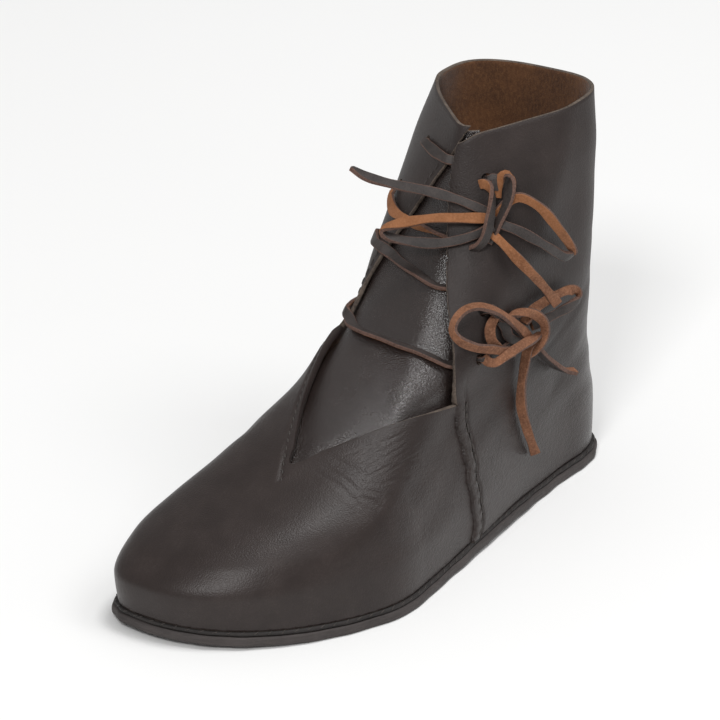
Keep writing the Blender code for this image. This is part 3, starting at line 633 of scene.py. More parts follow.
def wallMesh(name, outer, inner, quads, rim, materials, slitShadePoints=frozenset()):
    # outer, inner: matching points; open borders get a rounded rim, raw apart from the slit's points, whose
    # rim takes the outer leather finish as painted shade
    count = len(outer)
    borders = {}
    for q in quads:
        for a, b in zip(q, np.roll(q, -1)):
            borders[(int(a), int(b))] = q
    openEdges = [(a, b) for (a, b) in borders if (b, a) not in borders]
    push = {}
    for a, b in openEdges:
        middle = outer[borders[(a, b)]].mean(0)
        for k in (a, b):
            push.setdefault(k, []).append(outer[k] - middle)
    ring = {}
    extra = []
    for k, ways in push.items():
        wall = inner[k] - outer[k]
        way = np.mean(ways, axis=0)
        way = way - wall * np.dot(way, wall) / np.dot(wall, wall)
        way = way / (np.linalg.norm(way) + 1e-9) * rim
        ring[k] = 2 * count + len(extra)
        for share in upperSpec["rimShares"]:
            extra.append(outer[k] + wall * share + way)
    faces = [tuple(int(i) for i in q) for q in quads]
    faces += [tuple(int(i) + count for i in q[::-1]) for q in quads]
    slots = [0] * len(quads) + [1] * len(quads)
    for a, b in openEdges:
        chain = ((a, b), (ring[a], ring[b]), (ring[a] + 1, ring[b] + 1), (a + count, b + count))
        for (p, q), (r, t) in zip(chain, chain[1:]):
            faces.append((q, p, r, t))
            # rim faces along the slit take the dark outer finish: painted shade in the gap
            slots.append(0 if a in slitShadePoints and b in slitShadePoints else 2)
    verts = np.concatenate((outer, inner, np.array(extra)))
    return meshPiece(name, verts, faces, materials, upperSpec["sharp"], slots)


def meshPiece(name, verts, faces, materials, sharp, slots=None, marks=None):
    mesh = bpy.data.meshes.new(name)
    mesh.from_pydata(((np.asarray(verts) + stand) * mm).tolist(), [], faces)
    for material in materials:
        mesh.materials.append(material)
    if slots is not None:
        mesh.polygons.foreach_set("material_index", slots)
    if marks is not None:
        mesh.attributes.new("grainFace", "FLOAT", "FACE").data.foreach_set("value", marks)
    bm = bmesh.new()
    bm.from_mesh(mesh)
    if marks is None:  # strips cross one another and stay apart
        bmesh.ops.remove_doubles(bm, verts=bm.verts, dist=mergeGap)
    bmesh.ops.recalc_face_normals(bm, faces=bm.faces)
    bm.to_mesh(mesh)
    bm.free()
    mesh.shade_smooth()
    mesh.set_sharp_from_angle(angle=math.radians(sharp))
    piece = bpy.data.objects.new(name, mesh)
    bpy.context.collection.objects.link(piece)
    return piece


def settle(piece, slot, *nodes):
    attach(piece, "root")
    if nodes:
        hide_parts(*nodes)


def rearShares(spec):  # finer beside the two seams
    start = np.concatenate((np.arange(spec["edgeColumns"]) * spec["edgeStep"], spec["edgeMore"]))
    middle = np.linspace(spec["edgeEnd"], 1 - spec["edgeEnd"], spec["rearColumns"] - 2 * len(start))
    return np.concatenate((start, middle, 1 - start[::-1]))


def footAt(s):
    return upperSpec["foot"] + floorLift(last.skin(s, lastSpec["footLevel"])[..., 1])


def vampGrid(spec, front, up):
    # columns between the inner seam and the flap edge
    level = lastSpec["footLevel"]
    base = footAt(np.where(front > 0, flapLine(level), -innerLine(level)) * front)
    z = base + (throatHeight(front) - base) * up
    gap = spec["seamGap"]
    s = np.where(front > 0, (flapLine(z) - gap) * front, -(innerLine(z) + gap) * front)
    lip = lipRise(front, throatHeight(front) - z) * ramp(up, *spec["lipRows"])
    return s, z, np.zeros_like(z), lip - throatGroove(s, z)


def quarterGrid(spec, rear, up):
    # columns from the flap edge round the heel to the inner seam
    level = lastSpec["footLevel"]
    base = footAt(flapLine(level) + rear * (last.round(level) - flapLine(level) + innerLine(level)))
    middle = throatOuter + (throatInner - throatOuter) * rear
    tall = np.linspace(0, 1, spec["highRows"] + 1)[1:, None]
    z = np.concatenate((base + (middle - base) * up, middle + (collarHeight(rear) - middle) * tall))
    ahead = rear * (last.round(z) - flapLine(z) + innerLine(z))
    s = flapLine(z) + ahead
    behind = last.round(z) + innerLine(z) - s
    lap = spec["innerStep"] * fadeOut(behind) * sewnInner(z)
    lap += spec["lapStep"] * fadeOut(ahead) * np.where(ahead < behind, sewnOuter(z), 1)
    ragged = spec["ragged"] * (np.sin(z * 2.9) * np.sin(z * 1.37 + 0.6) + 0.7 * np.sin(z * 5.1 + 1.0))
    ends = [throatInner + fade for fade in spec["ridgeFade"]]
    for gap, held, side in ((ahead, sewnOuter(z), 1), (behind, ramp(z, *ends), -1)):
        lap += held * spec["seamRidge"] * np.exp(-((gap - spec["ridgeAt"]) / spec["ridgeReach"]) ** 4)
        lap -= held * spec["seamGroove"] * np.exp(-((gap - spec["seamLine"]) / spec["grooveReach"]) ** 2)
        cut = ragged * np.exp(-(gap / spec["raggedReach"]) ** 2)
        lap += spec["raggedStep"] * cut
        s = s - side * cut
    return s, z, flapLift(z) * fadeOut(ahead), lap


def makeUpper(spec):
    low = spec["lowRows"]
    front = np.interp(np.linspace(0, 1, spec["frontColumns"]), spec["columnShares"], spec["columnPlaces"])
    rear = rearShares(spec)
    up = np.interp(np.linspace(0, 1, low + 1), spec["rowShares"], spec["rowPlaces"])[:, None]
    outer = []
    inner = []
    for s, z, rise, step in (vampGrid(spec, front, up), quarterGrid(spec, rear, up)):
        n = last.out(s, z)
        n[0, :, 2] = 0  # the foot stands on the rand
        n[0] /= np.linalg.norm(n[0], axis=-1, keepdims=True)
        relief = (creaseDepth(s, z) + unevenness(s, z)) * aboveFoot(z)
        skin = last.skin(s, z)
        outer.append((skin + n * (rise + step + relief)[..., None]).reshape(-1, 3))
        inside = rise - spec["wall"] + spec["insideRelief"] * relief
        inner.append((skin + n * inside[..., None]).reshape(-1, 3))
    frontIds = np.arange(len(outer[0])).reshape(low + 1, -1)
    rearIds = np.arange(len(outer[1])).reshape(-1, len(rear)) + frontIds.size
    whole = np.concatenate((frontIds, rearIds[:low + 1], frontIds[:, :1]), axis=1)
    quads = np.concatenate((cellsOf(whole), cellsOf(rearIds[low:])))
    # the rim of these points along the slit is painted dark, as shade in the gap
    slitShadePoints = frozenset(frontIds[low][front < spec["slitEnd"]].tolist())
    return wallMesh("bootUpper", np.concatenate(outer), np.concatenate(inner), quads, spec["rim"],
                    (finishes["upper"], finishes["suede"], finishes["edge"]), slitShadePoints)


def holeSpots(spec):
    outer = [(float(flapLine(z)) + spec["holeBack"], z) for z in spec["outerHoles"]]
    inner = [(float(innerLine(z)) - spec["innerHoleBack"], z) for z in spec["innerHoles"]]
    return outer, inner


def punchHoles(piece, spec):
    verts = []
    faces = []
    sides = spec["holeSides"]
    turn = np.arange(sides) * 2 * np.pi / sides
    for s, z in sum(holeSpots(spec), []):
        n = last.out(s, z)
        a = np.cross(n, (0, 0, 1))
        a /= np.linalg.norm(a)
        b = np.cross(n, a)
        first = len(verts)
        disc = (np.cos(turn)[:, None] * a + np.sin(turn)[:, None] * b) * spec["holeWidth"] / 2
        for reach in (-spec["punchReach"], spec["punchReach"]):
            verts.extend(last.skin(s, z) + n * reach + disc)
        faces.append([first + k for k in range(sides)])
        faces.append([first + 2 * sides - 1 - k for k in range(sides)])
        for k in range(sides):
            m = (k + 1) % sides
            faces.append((first + k, first + sides + k, first + sides + m, first + m))
    punch = meshPiece("holePunch", verts, faces, [finishes["edge"]], spec["sharp"])
    cut = piece.modifiers.new("laceHoles", "BOOLEAN")
    cut.operation = "DIFFERENCE"
    cut.object = punch
    cut.material_mode = "TRANSFER"
    applyModifiers(piece)
    bpy.data.objects.remove(punch)


def applyModifiers(piece):
    graph = bpy.context.evaluated_depsgraph_get()
    mesh = bpy.data.meshes.new_from_object(piece.evaluated_get(graph))
    piece.modifiers.clear()
    piece.data = mesh
    mesh.name = piece.name


upper = makeUpper(upperSpec)
punchHoles(upper, upperSpec)
upper.data.set_sharp_from_angle(angle=math.radians(upperSpec["sharp"]))
settle(upper, "upper_leather", "upper")
print("upper:", len(upper.data.polygons), "faces")

panelSpec = {
    "thick": 1.6, "clear": 0.7, "underInner": 8.0, "underOuter": 10.0, "underVamp": 5.0, "top": 179.0,
    "across": 70, "tall": 110, "rim": 0.35, "sink": 0.8, "sinkSpan": (160.0, 175.0),
    "tuck": 1.3, "tuckReach": 4.5,  # under the vamp's edge
    "pucker": 0.35, "puckers": ((92.0, 0.10, 3.2), (104.0, -0.12, 3.4)),  # height, slope, half width
    "crest": 1.2, "crestReach": 7.0, "crestFade": (150.0, 125.0),  # a soft ridge down the panel
    "crestHeights": (74.0, 82.0, 90.0, 97.0, 108.0, 126.0),
    "crestRounds": (33.0, 29.0, 22.5, 16.8, 10.6, 6.1),
}


def makePanel(spec):
    share = np.linspace(0, 1, spec["across"] + 1)
    up = np.linspace(0, 1, spec["tall"] + 1)[:, None]
    bottom = throatHeight(share * 2 - 1) - spec["underVamp"]
    z = bottom + (spec["top"] - bottom) * up
    right = flapLine(z) + spec["underOuter"]
    left = innerLine(z) - spec["underInner"]
    s = left + (right - left) * share
    n = last.out(s, z)
    skin = last.skin(s, z)
    crest = np.interp(z, spec["crestHeights"], spec["crestRounds"])
    fold = spec["crest"] * np.exp(-((s - crest) / spec["crestReach"]) ** 2) * ramp(z, *spec["crestFade"])
    for height, slope, reach in spec["puckers"]:
        pinch = np.exp(-((z - height - slope * s) / reach) ** 2) * np.sin(share * np.pi) ** 0.5
        fold = fold - spec["pucker"] * pinch
    depth = upperSpec["wall"] + spec["clear"] + spec["sink"] * ramp(z, *spec["sinkSpan"])
    depth = depth + spec["tuck"] * np.exp(-((z - bottom - spec["underVamp"]) / spec["tuckReach"]) ** 2)
    outer = skin - n * (depth - fold)[..., None]
    inner = skin - n * (depth + spec["thick"] - fold)[..., None]
    quads = cellsOf(np.arange(s.size).reshape(s.shape))
    return wallMesh("instepPanel", outer.reshape(-1, 3), inner.reshape(-1, 3), quads, spec["rim"],
                    (finishes["panel"], finishes["suede"], finishes["edge"]))


panel = makePanel(panelSpec)
settle(panel, "panel_leather", "instep_panel")
print("panel:", len(panel.data.polygons), "faces")

bottomSpec = {
    "count": 190, "handCut": 0.22, "sharp": 42.0,
    # edge profiles from the bottom up: height, growth beyond the foot of the upper
    "sole": ((0.0, 0.9), (0.3, 1.5), (0.9, 1.95), (2.2, 2.08), (3.5, 2.0), (4.25, 1.8), (4.6, 1.4)),
    "rand": ((4.9, -7.9), (4.9, 0.7), (5.15, 1.05), (5.8, 1.18), (6.4, 1.0), (6.7, 0.6), (6.7, -7.9)),
    "insole": ((7.0, -2.7), (8.6, -2.6), (9.2, -2.9), (9.4, -3.4)),
}


def outlineAt(grow, count):
    outer, inner, y = levelSides(lastSpec["footLevel"], np.linspace(0, np.pi, count + 1), grow)
    return np.concatenate((outer, inner[-2:0:-1])), np.concatenate((y, y[-2:0:-1]))


def makeRing(name, profile, material, closed, spec):
    loops = []
    size = 2 * spec["count"]
    turn = np.arange(size) / size * 2 * np.pi
    wobble = spec["handCut"] * (np.sin(23 * turn) * np.sin(7 * turn + 0.6) + 0.6 * np.sin(41 * turn + 1.0))
    for height, grow in profile:
        x, y = outlineAt(grow, spec["count"])
        if grow > 0:
            cx, cy = outlineAt(grow + 1, spec["count"])
            x, y = x + (cx - x) * wobble, y + (cy - y) * wobble
        loops.append(np.stack((x, y, height + floorLift(y)), axis=1))
    faces = []
    rings = len(profile)
    for i in range(rings if closed else rings - 1):
        j = (i + 1) % rings
        for k in range(size):
            m = (k + 1) % size
            faces.append((i * size + k, i * size + m, j * size + m, j * size + k))
    if not closed:  # plates get a quad cap across, bottom and top
        for base in (0, (rings - 1) * size):
            for k in range(spec["count"]):
                loop = (base + k, base + k + 1, base + (size - k - 1) % size, base + (size - k) % size)
                faces.append(tuple(dict.fromkeys(loop)))
    return meshPiece(name, np.concatenate(loops), faces, [material], spec["sharp"])


outsole = makeRing("outSole", bottomSpec["sole"], finishes["sole"], False, bottomSpec)
settle(outsole, "sole_leather", "outsole")
rand = makeRing("sewnRand", bottomSpec["rand"], finishes["welt"], True, bottomSpec)
settle(rand, "rand_leather", "rand")
insole = makeRing("inSole", bottomSpec["insole"], finishes["suede"], False, bottomSpec)
settle(insole, "insole_leather", "insole")
print("bottom: sole, rand, insole")

# stitches: one tree lays thread along a line of points
stitchInputs = (
    ("Spacing", "NodeSocketFloat"), ("Length", "NodeSocketFloat"), ("Width", "NodeSocketFloat"),
    ("Height", "NodeSocketFloat"), ("Slant", "NodeSocketFloat"), ("Jitter", "NodeSocketFloat"),
    ("Seed", "NodeSocketInt"), ("Thread", "NodeSocketMaterial"),
)


def stitchTree():
    tree = bpy.data.node_groups.new("threadRun", "GeometryNodeTree")
    tree.interface.new_socket("Geometry", in_out="INPUT", socket_type="NodeSocketGeometry")
    for name, kind in stitchInputs:
        tree.interface.new_socket(name, in_out="INPUT", socket_type=kind)
    tree.interface.new_socket("Geometry", in_out="OUTPUT", socket_type="NodeSocketGeometry")

    def node(kind, settings=None, **sockets):
        made = tree.nodes.new(kind)
        for key, value in (settings or {}).items():
            setattr(made, key, value)
        for key, value in sockets.items():
            place = made.inputs[int(key[1:])] if key[0] == "i" and key[1:].isdigit() else made.inputs[key]
            if isinstance(value, bpy.types.NodeSocket):
                tree.links.new(value, place)
            else:
                place.default_value = value
        return made
    given = tree.nodes.new("NodeGroupInput").outputs
    line = node("GeometryNodeMeshToCurve", Mesh=given["Geometry"])
    spaced = node("GeometryNodeResampleCurve", {"mode": "LENGTH"}, Curve=line.outputs[0],
                  Length=given["Spacing"])
    out = node("GeometryNodeInputNamedAttribute", {"data_type": "FLOAT_VECTOR"}, Name="out").outputs[0]
    tangent = node("GeometryNodeInputTangent").outputs[0]
    loose = node("FunctionNodeRandomValue", {"data_type": "FLOAT"}, Seed=given["Seed"])
    wander = node("ShaderNodeMath", {"operation": "MULTIPLY_ADD"}, i0=loose.outputs[1], i1=given["Jitter"],
                  i2=given["Slant"]).outputs[0]
    across = node("ShaderNodeVectorMath", {"operation": "CROSS_PRODUCT"}, i0=out, i1=tangent).outputs[0]
    cosine = node("ShaderNodeMath", {"operation": "COSINE"}, i0=wander).outputs[0]
    sine = node("ShaderNodeMath", {"operation": "SINE"}, i0=wander).outputs[0]
    one = node("ShaderNodeVectorMath", {"operation": "SCALE"}, i0=tangent, Scale=cosine).outputs[0]
    two = node("ShaderNodeVectorMath", {"operation": "SCALE"}, i0=across, Scale=sine).outputs[0]
    way = node("ShaderNodeVectorMath", {"operation": "ADD"}, i0=one, i1=two).outputs[0]
    turn = node("FunctionNodeAxesToRotation", {"primary_axis": "X", "secondary_axis": "Z"}, i0=way, i1=out)
    size = node("ShaderNodeCombineXYZ", X=given["Length"], Y=given["Width"], Z=given["Height"]).outputs[0]
    bead = node("GeometryNodeMeshUVSphere", Segments=8, Rings=6, Radius=0.5).outputs[0]
    laid = node("GeometryNodeInstanceOnPoints", Points=spaced.outputs[0], Instance=bead,
                Rotation=turn.outputs[0], Scale=size)
    real = node("GeometryNodeRealizeInstances", Geometry=laid.outputs[0])
    smooth = node("GeometryNodeSetShadeSmooth", Geometry=real.outputs[0])
    dressed = node("GeometryNodeSetMaterial", Geometry=smooth.outputs[0], Material=given["Thread"])
    tree.links.new(dressed.outputs[0], tree.nodes.new("NodeGroupOutput").inputs[0])
    return tree


threadRun = stitchTree()


def layStitches(name, points, outs, spec, slot):
    mesh = bpy.data.meshes.new(name)
    mesh.from_pydata(((points + stand) * mm).tolist(), [(i, i + 1) for i in range(len(points) - 1)], [])
    mesh.attributes.new("out", "FLOAT_VECTOR", "POINT").data.foreach_set("vector", outs.ravel())
    guide = bpy.data.objects.new(name, mesh)
    bpy.context.collection.objects.link(guide)
    run = guide.modifiers.new("threadRun", "NODES")
    run.node_group = threadRun
    given = dict(spec, Thread=finishes["thread"])
    for item in threadRun.interface.items_tree:
        if item.item_type == "SOCKET" and item.in_out == "INPUT" and item.name in given:
            run[item.identifier] = given[item.name]
    applyModifiers(guide)
    settle(guide, slot)


def quarterOff(s, z):
    lap = flapLift(z) + upperSpec["lapStep"] * sewnOuter(z)
    return lap * fadeOut(s - flapLine(z)) + unevenness(s, z) * aboveFoot(z)


def innerOff(s, z):
    return upperSpec["innerStep"] * sewnInner(z) + unevenness(s, z) * aboveFoot(z)


# runs: where the line lies in mm, then the tree's own inputs in m and radians
stitchSpec = {
    "outerSeam": {"heights": (11, 69, 60), "aside": upperSpec["seamLine"], "lift": -0.25,
                  "Spacing": 0.0050, "Length": 0.0046, "Width": 0.0011, "Height": 0.0012,
                  "Slant": -0.30, "Jitter": 0.20, "Seed": 3},
    "outerWhip": {"heights": (11, 69, 60), "aside": 4.2, "lift": 0.35,
                  "Spacing": 0.0050, "Length": 0.0040, "Width": 0.0009, "Height": 0.0009,
                  "Slant": -0.85, "Jitter": 0.40, "Seed": 5},
    "innerSeam": {"heights": (11, 88, 70), "aside": -upperSpec["seamLine"], "lift": -0.35,
                  "Spacing": 0.0046, "Length": 0.0038, "Width": 0.0010, "Height": 0.0008,
                  "Slant": 0.25, "Jitter": 0.25, "Seed": 7},
    "innerEdge": {"heights": (92, 176, 80), "aside": -3.4, "lift": 0.0,
                  "Spacing": 0.0046, "Length": 0.0036, "Width": 0.0009, "Height": 0.0008,
                  "Slant": 0.12, "Jitter": 0.2, "Seed": 9},
    "throatEdge": {"lift": 0.15,
                   "Spacing": 0.0046, "Length": 0.0034, "Width": 0.0011, "Height": 0.0012,
                   "Slant": 0.12, "Jitter": 0.2, "Seed": 11},
    "rand": {"count": 160, "grow": 0.95, "up": 6.45, "tilt": 0.5,
             "Spacing": 0.0060, "Length": 0.0030, "Width": 0.0006, "Height": 0.0005,
             "Slant": 0.30, "Jitter": 0.5, "Seed": 13},
}


def makeStitches(spec):
    for name, line, off in (("outerSeam", flapLine, quarterOff), ("outerWhip", flapLine, quarterOff),
                            ("innerSeam", innerLine, innerOff), ("innerEdge", innerLine, innerOff)):
        run = spec[name]
        z = np.linspace(*run["heights"])
        s = line(z) + run["aside"]
        outs = last.out(s, z)
        points = last.skin(s, z) + outs * (off(s, z) + run["lift"])[..., None]
        layStitches(name + "Stitch", points, outs, run, "upper_leather")
    run = spec["throatEdge"]
    s, z = throatSeam().T
    outs = last.out(s, z)
    across = np.where(s > 0, s / flapLine(z), -s / innerLine(z))
    lift = lipRise(across, throatHeight(across) - z) + creaseDepth(s, z) + unevenness(s, z)
    lift = lift - upperSpec["throatGroove"] + run["lift"]
    points = last.skin(s, z) + outs * lift[..., None]
    layStitches("throatEdgeStitch", points, outs, run, "upper_leather")
    run = spec["rand"]
    x, y = outlineAt(run["grow"], run["count"])
    cx, cy = outlineAt(run["grow"] + 1, run["count"])
    outs = np.stack((cx - x, cy - y, np.full(len(x), run["tilt"])), axis=1)
    outs /= np.linalg.norm(outs, axis=1, keepdims=True)
    points = np.stack((x, y, run["up"] + floorLift(y)), axis=1)
    layStitches("randStitch", points, outs, run, "rand_leather")


makeStitches(stitchSpec)
print("stitches:", len(stitchSpec), "runs")

# thongs: flat strips with a dark grain face and a tan flesh face
thongSize = {"width": 4.6, "bow": 4.4, "thick": 1.7, "bowThick": 2.1, "neck": 2.6, "step": 1.3}
stripSpec = {
    "bevel": 0.28, "crown": 0.10, "crownShare": 0.35, "sharp": 38.0,
    "twist": 7.0, "twistRun": 7.1,  # degrees, and mm along
    "uneven": 0.088, "unevenRuns": (5.3, 2.7), "widths": (0.88, 1.12),
    # by face: 1 grain, 0.4 edge, 0 flesh
    "grain": (0.6, 1.0, 1.0, 1.0, 0.6, 0.4, 0.0, 0.0, 0.0, 0.0, 0.0, 0.4),
}


def stripSection(width, thick):
    a = width / 2
    b = thick / 2
    c = stripSpec["bevel"]
    d = b + stripSpec["crown"]
    e = a * stripSpec["crownShare"]
    top = ((a, b - c), (a - c, b), (e, d), (-e, d), (-a + c, b), (-a, b - c))
    return np.array(top + tuple((-x, -y) for x, y in top))


def smoothPath(points, values, step):
    points = np.asarray(points, float)
    values = np.asarray(values, float)
    both = np.concatenate((points, values.reshape(len(points), -1)), axis=1)
    ends = np.vstack((2 * both[0] - both[1], both, 2 * both[-1] - both[-2]))
    path = []
    for i in range(1, len(ends) - 2):
        a, b, c, d = ends[i - 1:i + 3]
        count = max(1, int(round(np.linalg.norm((c - b)[:3]) / step)))
        t = (np.arange(count) / count)[:, None]
        path.append(0.5 * (2 * b + (c - a) * t + (2 * a - 5 * b + 4 * c - d) * t ** 2
                           + (3 * b - a - 3 * c + d) * t ** 3))
    path.append(both[-1:])
    path = np.concatenate(path)
    return path[:, :3], path[:, 3:]


def stripMesh(path, outs, rolls, widths, thick, seed):
    # outs: where the strip's grain face looks at roll 0; roll in degrees about the path
    tangent = np.gradient(path, axis=0)
    tangent /= np.linalg.norm(tangent, axis=1, keepdims=True)
    outs = outs - tangent * np.sum(outs * tangent, axis=1, keepdims=True)
    outs /= np.linalg.norm(outs, axis=1, keepdims=True)
    sides = np.cross(tangent, outs)
    run = np.concatenate(([0], np.cumsum(np.linalg.norm(np.diff(path, axis=0), axis=1))))
    twist = stripSpec["twist"] * np.sin(run / stripSpec["twistRun"] + 3 * seed)
    turn = np.radians(rolls + twist)[:, None]
    face = outs * np.cos(turn) + sides * np.sin(turn)
    edge = np.cross(tangent, face)
    slow, quick = stripSpec["unevenRuns"]
    vary = 1 + stripSpec["uneven"] * (np.sin(run / slow + seed) + 0.6 * np.sin(run / quick + 2 * seed))
    widths = widths * np.clip(vary, *stripSpec["widths"])
    verts = []
    for i in range(len(path)):
        ring = stripSection(widths[i], thick)
        verts.append(path[i] + edge[i] * ring[:, :1] + face[i] * ring[:, 1:])
    grain = stripSpec["grain"]
    size = len(grain)
    faces = []
    for i in range(len(path) - 1):
        for k in range(size):
            m = (k + 1) % size
            faces.append((i * size + k, i * size + m, (i + 1) * size + m, (i + 1) * size + k))
    faces.append(tuple(range(size - 1, -1, -1)))
    faces.append(tuple((len(path) - 1) * size + k for k in range(size)))
    return np.concatenate(verts), faces, list(grain) * (len(path) - 1) + [0.0, 0.0]


def stripPiece(name, strands):
    verts = []
    faces = []
    marks = []
    count = 0
    for points, strandFaces, mark in strands:
        verts.append(points)
        faces += [tuple(i + count for i in f) for f in strandFaces]
        marks += mark
        count += len(points)
    return meshPiece(name, np.concatenate(verts), faces, [finishes["thong"]], stripSpec["sharp"], marks=marks)


# crossings: out of an outer hole, under the flap, over the panel, into the inner hole; two a thong
laceSpec = {
    "panelOver": 1.8, "tieOver": 1.9, "tieStep": 6.0, "tieEnd": 0.3,
    # through the outer hole: past it, off the wall's face, 1 at the inner face, 1 where it narrows
    "outerHole": ((3.4, 1.6, 0, 0), (0.6, 0.9, 0, 1), (-0.1, -0.6, 1, 1), (-2.4, -1.9, 1, 0)),
    "mouthReach": 6.0, "mouthShare": 1.2, "flapSunk": 0.5, "flapClear": 3.0,
    "dropAt": 0.2, "dropReach": 0.16, "hiddenRoll": 0.3,
    # over the inner edge: past it, share of the climb, share of the dip, off the wall
    "innerEdge": ((-3.0, 0.15, 0.2, 1.9), (-9.0, 0.5, 0.6, 1.9)),
    "edgePast": 1.5, "edgeClear": 3.5, "edgeOver": 1.8,
    "dipTurn": ((5.5, 0.0, 2.0), (0.5, 2.0, 2.2)),  # past the inner hole, up from the dip, off the wall
    "innerPast": 3.4, "dipPast": 0.8, "dipShare": 0.4,
    "innerHole": ((0.3, 1.0, 0), (0.0, -1.0, 1)),  # past it, off the wall's face, 1 at the inner face
    "insideShares": (0.12, 0.88, 6), "insideOff": 2.2,
    "columns": ("tieBack", "tieUp", "edgeHeight", "arch", "panelRoll", "edgeRoll", "dip",
                "flapRoll", "flapDrop"),
    "rows": (
        (25.0, -1.0, 95.5, 4.0, 42, 0, 0.0, 40, 2.2), (33.0, -10.0, 121.0, 3.0, -30, -10, 0.0, -62, -4.5),
        (4.5, -0.5, 134.8, 0.8, 150, 180, 7.0, 0, 0.0), (4.0, -5.0, 165.8, 0.3, -30, -28, 0.0, 0, 0.0),
    ),
}


def laceRoute(row, spec):
    (s0, z0), (s1, z1) = (holes[row] for holes in holeSpots(upperSpec))
    wall = upperSpec["wall"]
    given = dict(zip(spec["columns"], spec["rows"][row]))
    under = spec["panelOver"] - wall - panelSpec["clear"]
    edgeZ = given["edgeHeight"]
    edge0 = float(flapLine(z0))
    edge1 = float(innerLine(edgeZ))
    mouth = float(flapLine(edgeZ)) - edge1
    full = thongSize["width"]
    neck = thongSize["neck"]
    rows = []  # round, height, off the skin, width, roll, hole
    for t in np.linspace(1.0, spec["tieEnd"], max(1, int(given["tieBack"] / spec["tieStep"]))):
        s = s0 + given["tieBack"] * t
        lap = float(flapLift(z0) * fadeOut(s - edge0))
        rows.append((s, z0 + given["tieUp"] * t, lap + spec["tieOver"], full, 0, 0))
    lap = float(flapLift(z0) * fadeOut(upperSpec["holeBack"]))
    for past, off, inside, narrow in spec["outerHole"]:
        rows.append((s0 + past, z0, lap - wall * inside + off, neck if narrow else full, 0, narrow))
    landing = edge1 + min(spec["mouthReach"], spec["mouthShare"] * mouth)
    for t in np.linspace(0.0, 1.0, 10)[1:]:
        s = s0 + (landing - s0) * t
        sunk = spec["flapSunk"] if s > edge0 - spec["flapClear"] else 0.0
        z = z0 + (edgeZ - z0) * t + given["arch"] * math.sin(math.pi * t)
        z = z - given["flapDrop"] * math.exp(-((t - spec["dropAt"]) / spec["dropReach"]) ** 2)
        roll = given["panelRoll"] * t
        roll += given["flapRoll"] * (1 - t) * (spec["hiddenRoll"] if s > edge0 else 1)
        rows.append((s, z, under - sunk, full, roll, 0))
    climb = z1 - edgeZ
    dip = given["dip"]
    roll = given["edgeRoll"]
    first = min(spec["edgePast"], mouth - spec["edgeClear"])
    rows.append((edge1 + first, edgeZ, spec["edgeOver"], full, roll, 0))
    for past, rise, drop, off in spec["innerEdge"]:
        rows.append((edge1 + past, edgeZ + climb * rise - dip * drop, off, full, roll, 0))
    for past, rise, off in spec["dipTurn"] if dip else ():
        rows.append((s1 + past, z1 - dip + rise, off, full, roll, 0))
    past = spec["dipPast"] if dip else spec["innerPast"]
    rows.append((s1 + past, z1 - spec["dipShare"] * dip, spec["edgeOver"], full, roll, 0))
    for past, off, inside in spec["innerHole"]:
        rows.append((s1 + past, z1, off - wall * inside, neck, roll, 1))
    return rows


def makeLace(name, low, high, spec, seed):
    inner = holeSpots(upperSpec)[1]
    inside = []
    for t in np.linspace(*spec["insideShares"]):
        s = inner[low][0] + (inner[high][0] - inner[low][0]) * t
        z = inner[low][1] + (inner[high][1] - inner[low][1]) * t
        inside.append((s, z, -upperSpec["wall"] - spec["insideOff"], thongSize["neck"], 0, 2))
    rows = np.array(laceRoute(low, spec) + inside + laceRoute(high, spec)[::-1])
    n = last.out(rows[:, 0], rows[:, 1])
    points = last.skin(rows[:, 0], rows[:, 1]) + n * rows[:, 2:3]
    around = np.cross((0.0, 0.0, 1.0), n)
    around /= np.linalg.norm(around, axis=1, keepdims=True)
    kind = rows[:, 5:6]
    faces = np.where(kind == 0, n, np.where(kind == 1, -around, -n))  # grain out, ahead in a hole, in inside
    path, carried = smoothPath(points, np.concatenate((faces, rows[:, 3:5]), axis=1), thongSize["step"])
    made = stripMesh(path, carried[:, :3], carried[:, 4], carried[:, 3], thongSize["thick"], seed)
    return stripPiece(name, [made])


lowerLace = makeLace("lowerLace", 0, 1, laceSpec, 1.0)
settle(lowerLace, "thong_leather", "lace_lower")
upperLace = makeLace("upperLace", 2, 3, laceSpec, 2.0)
settle(upperLace, "thong_leather", "lace_upper")
print("laces: crossings in place")

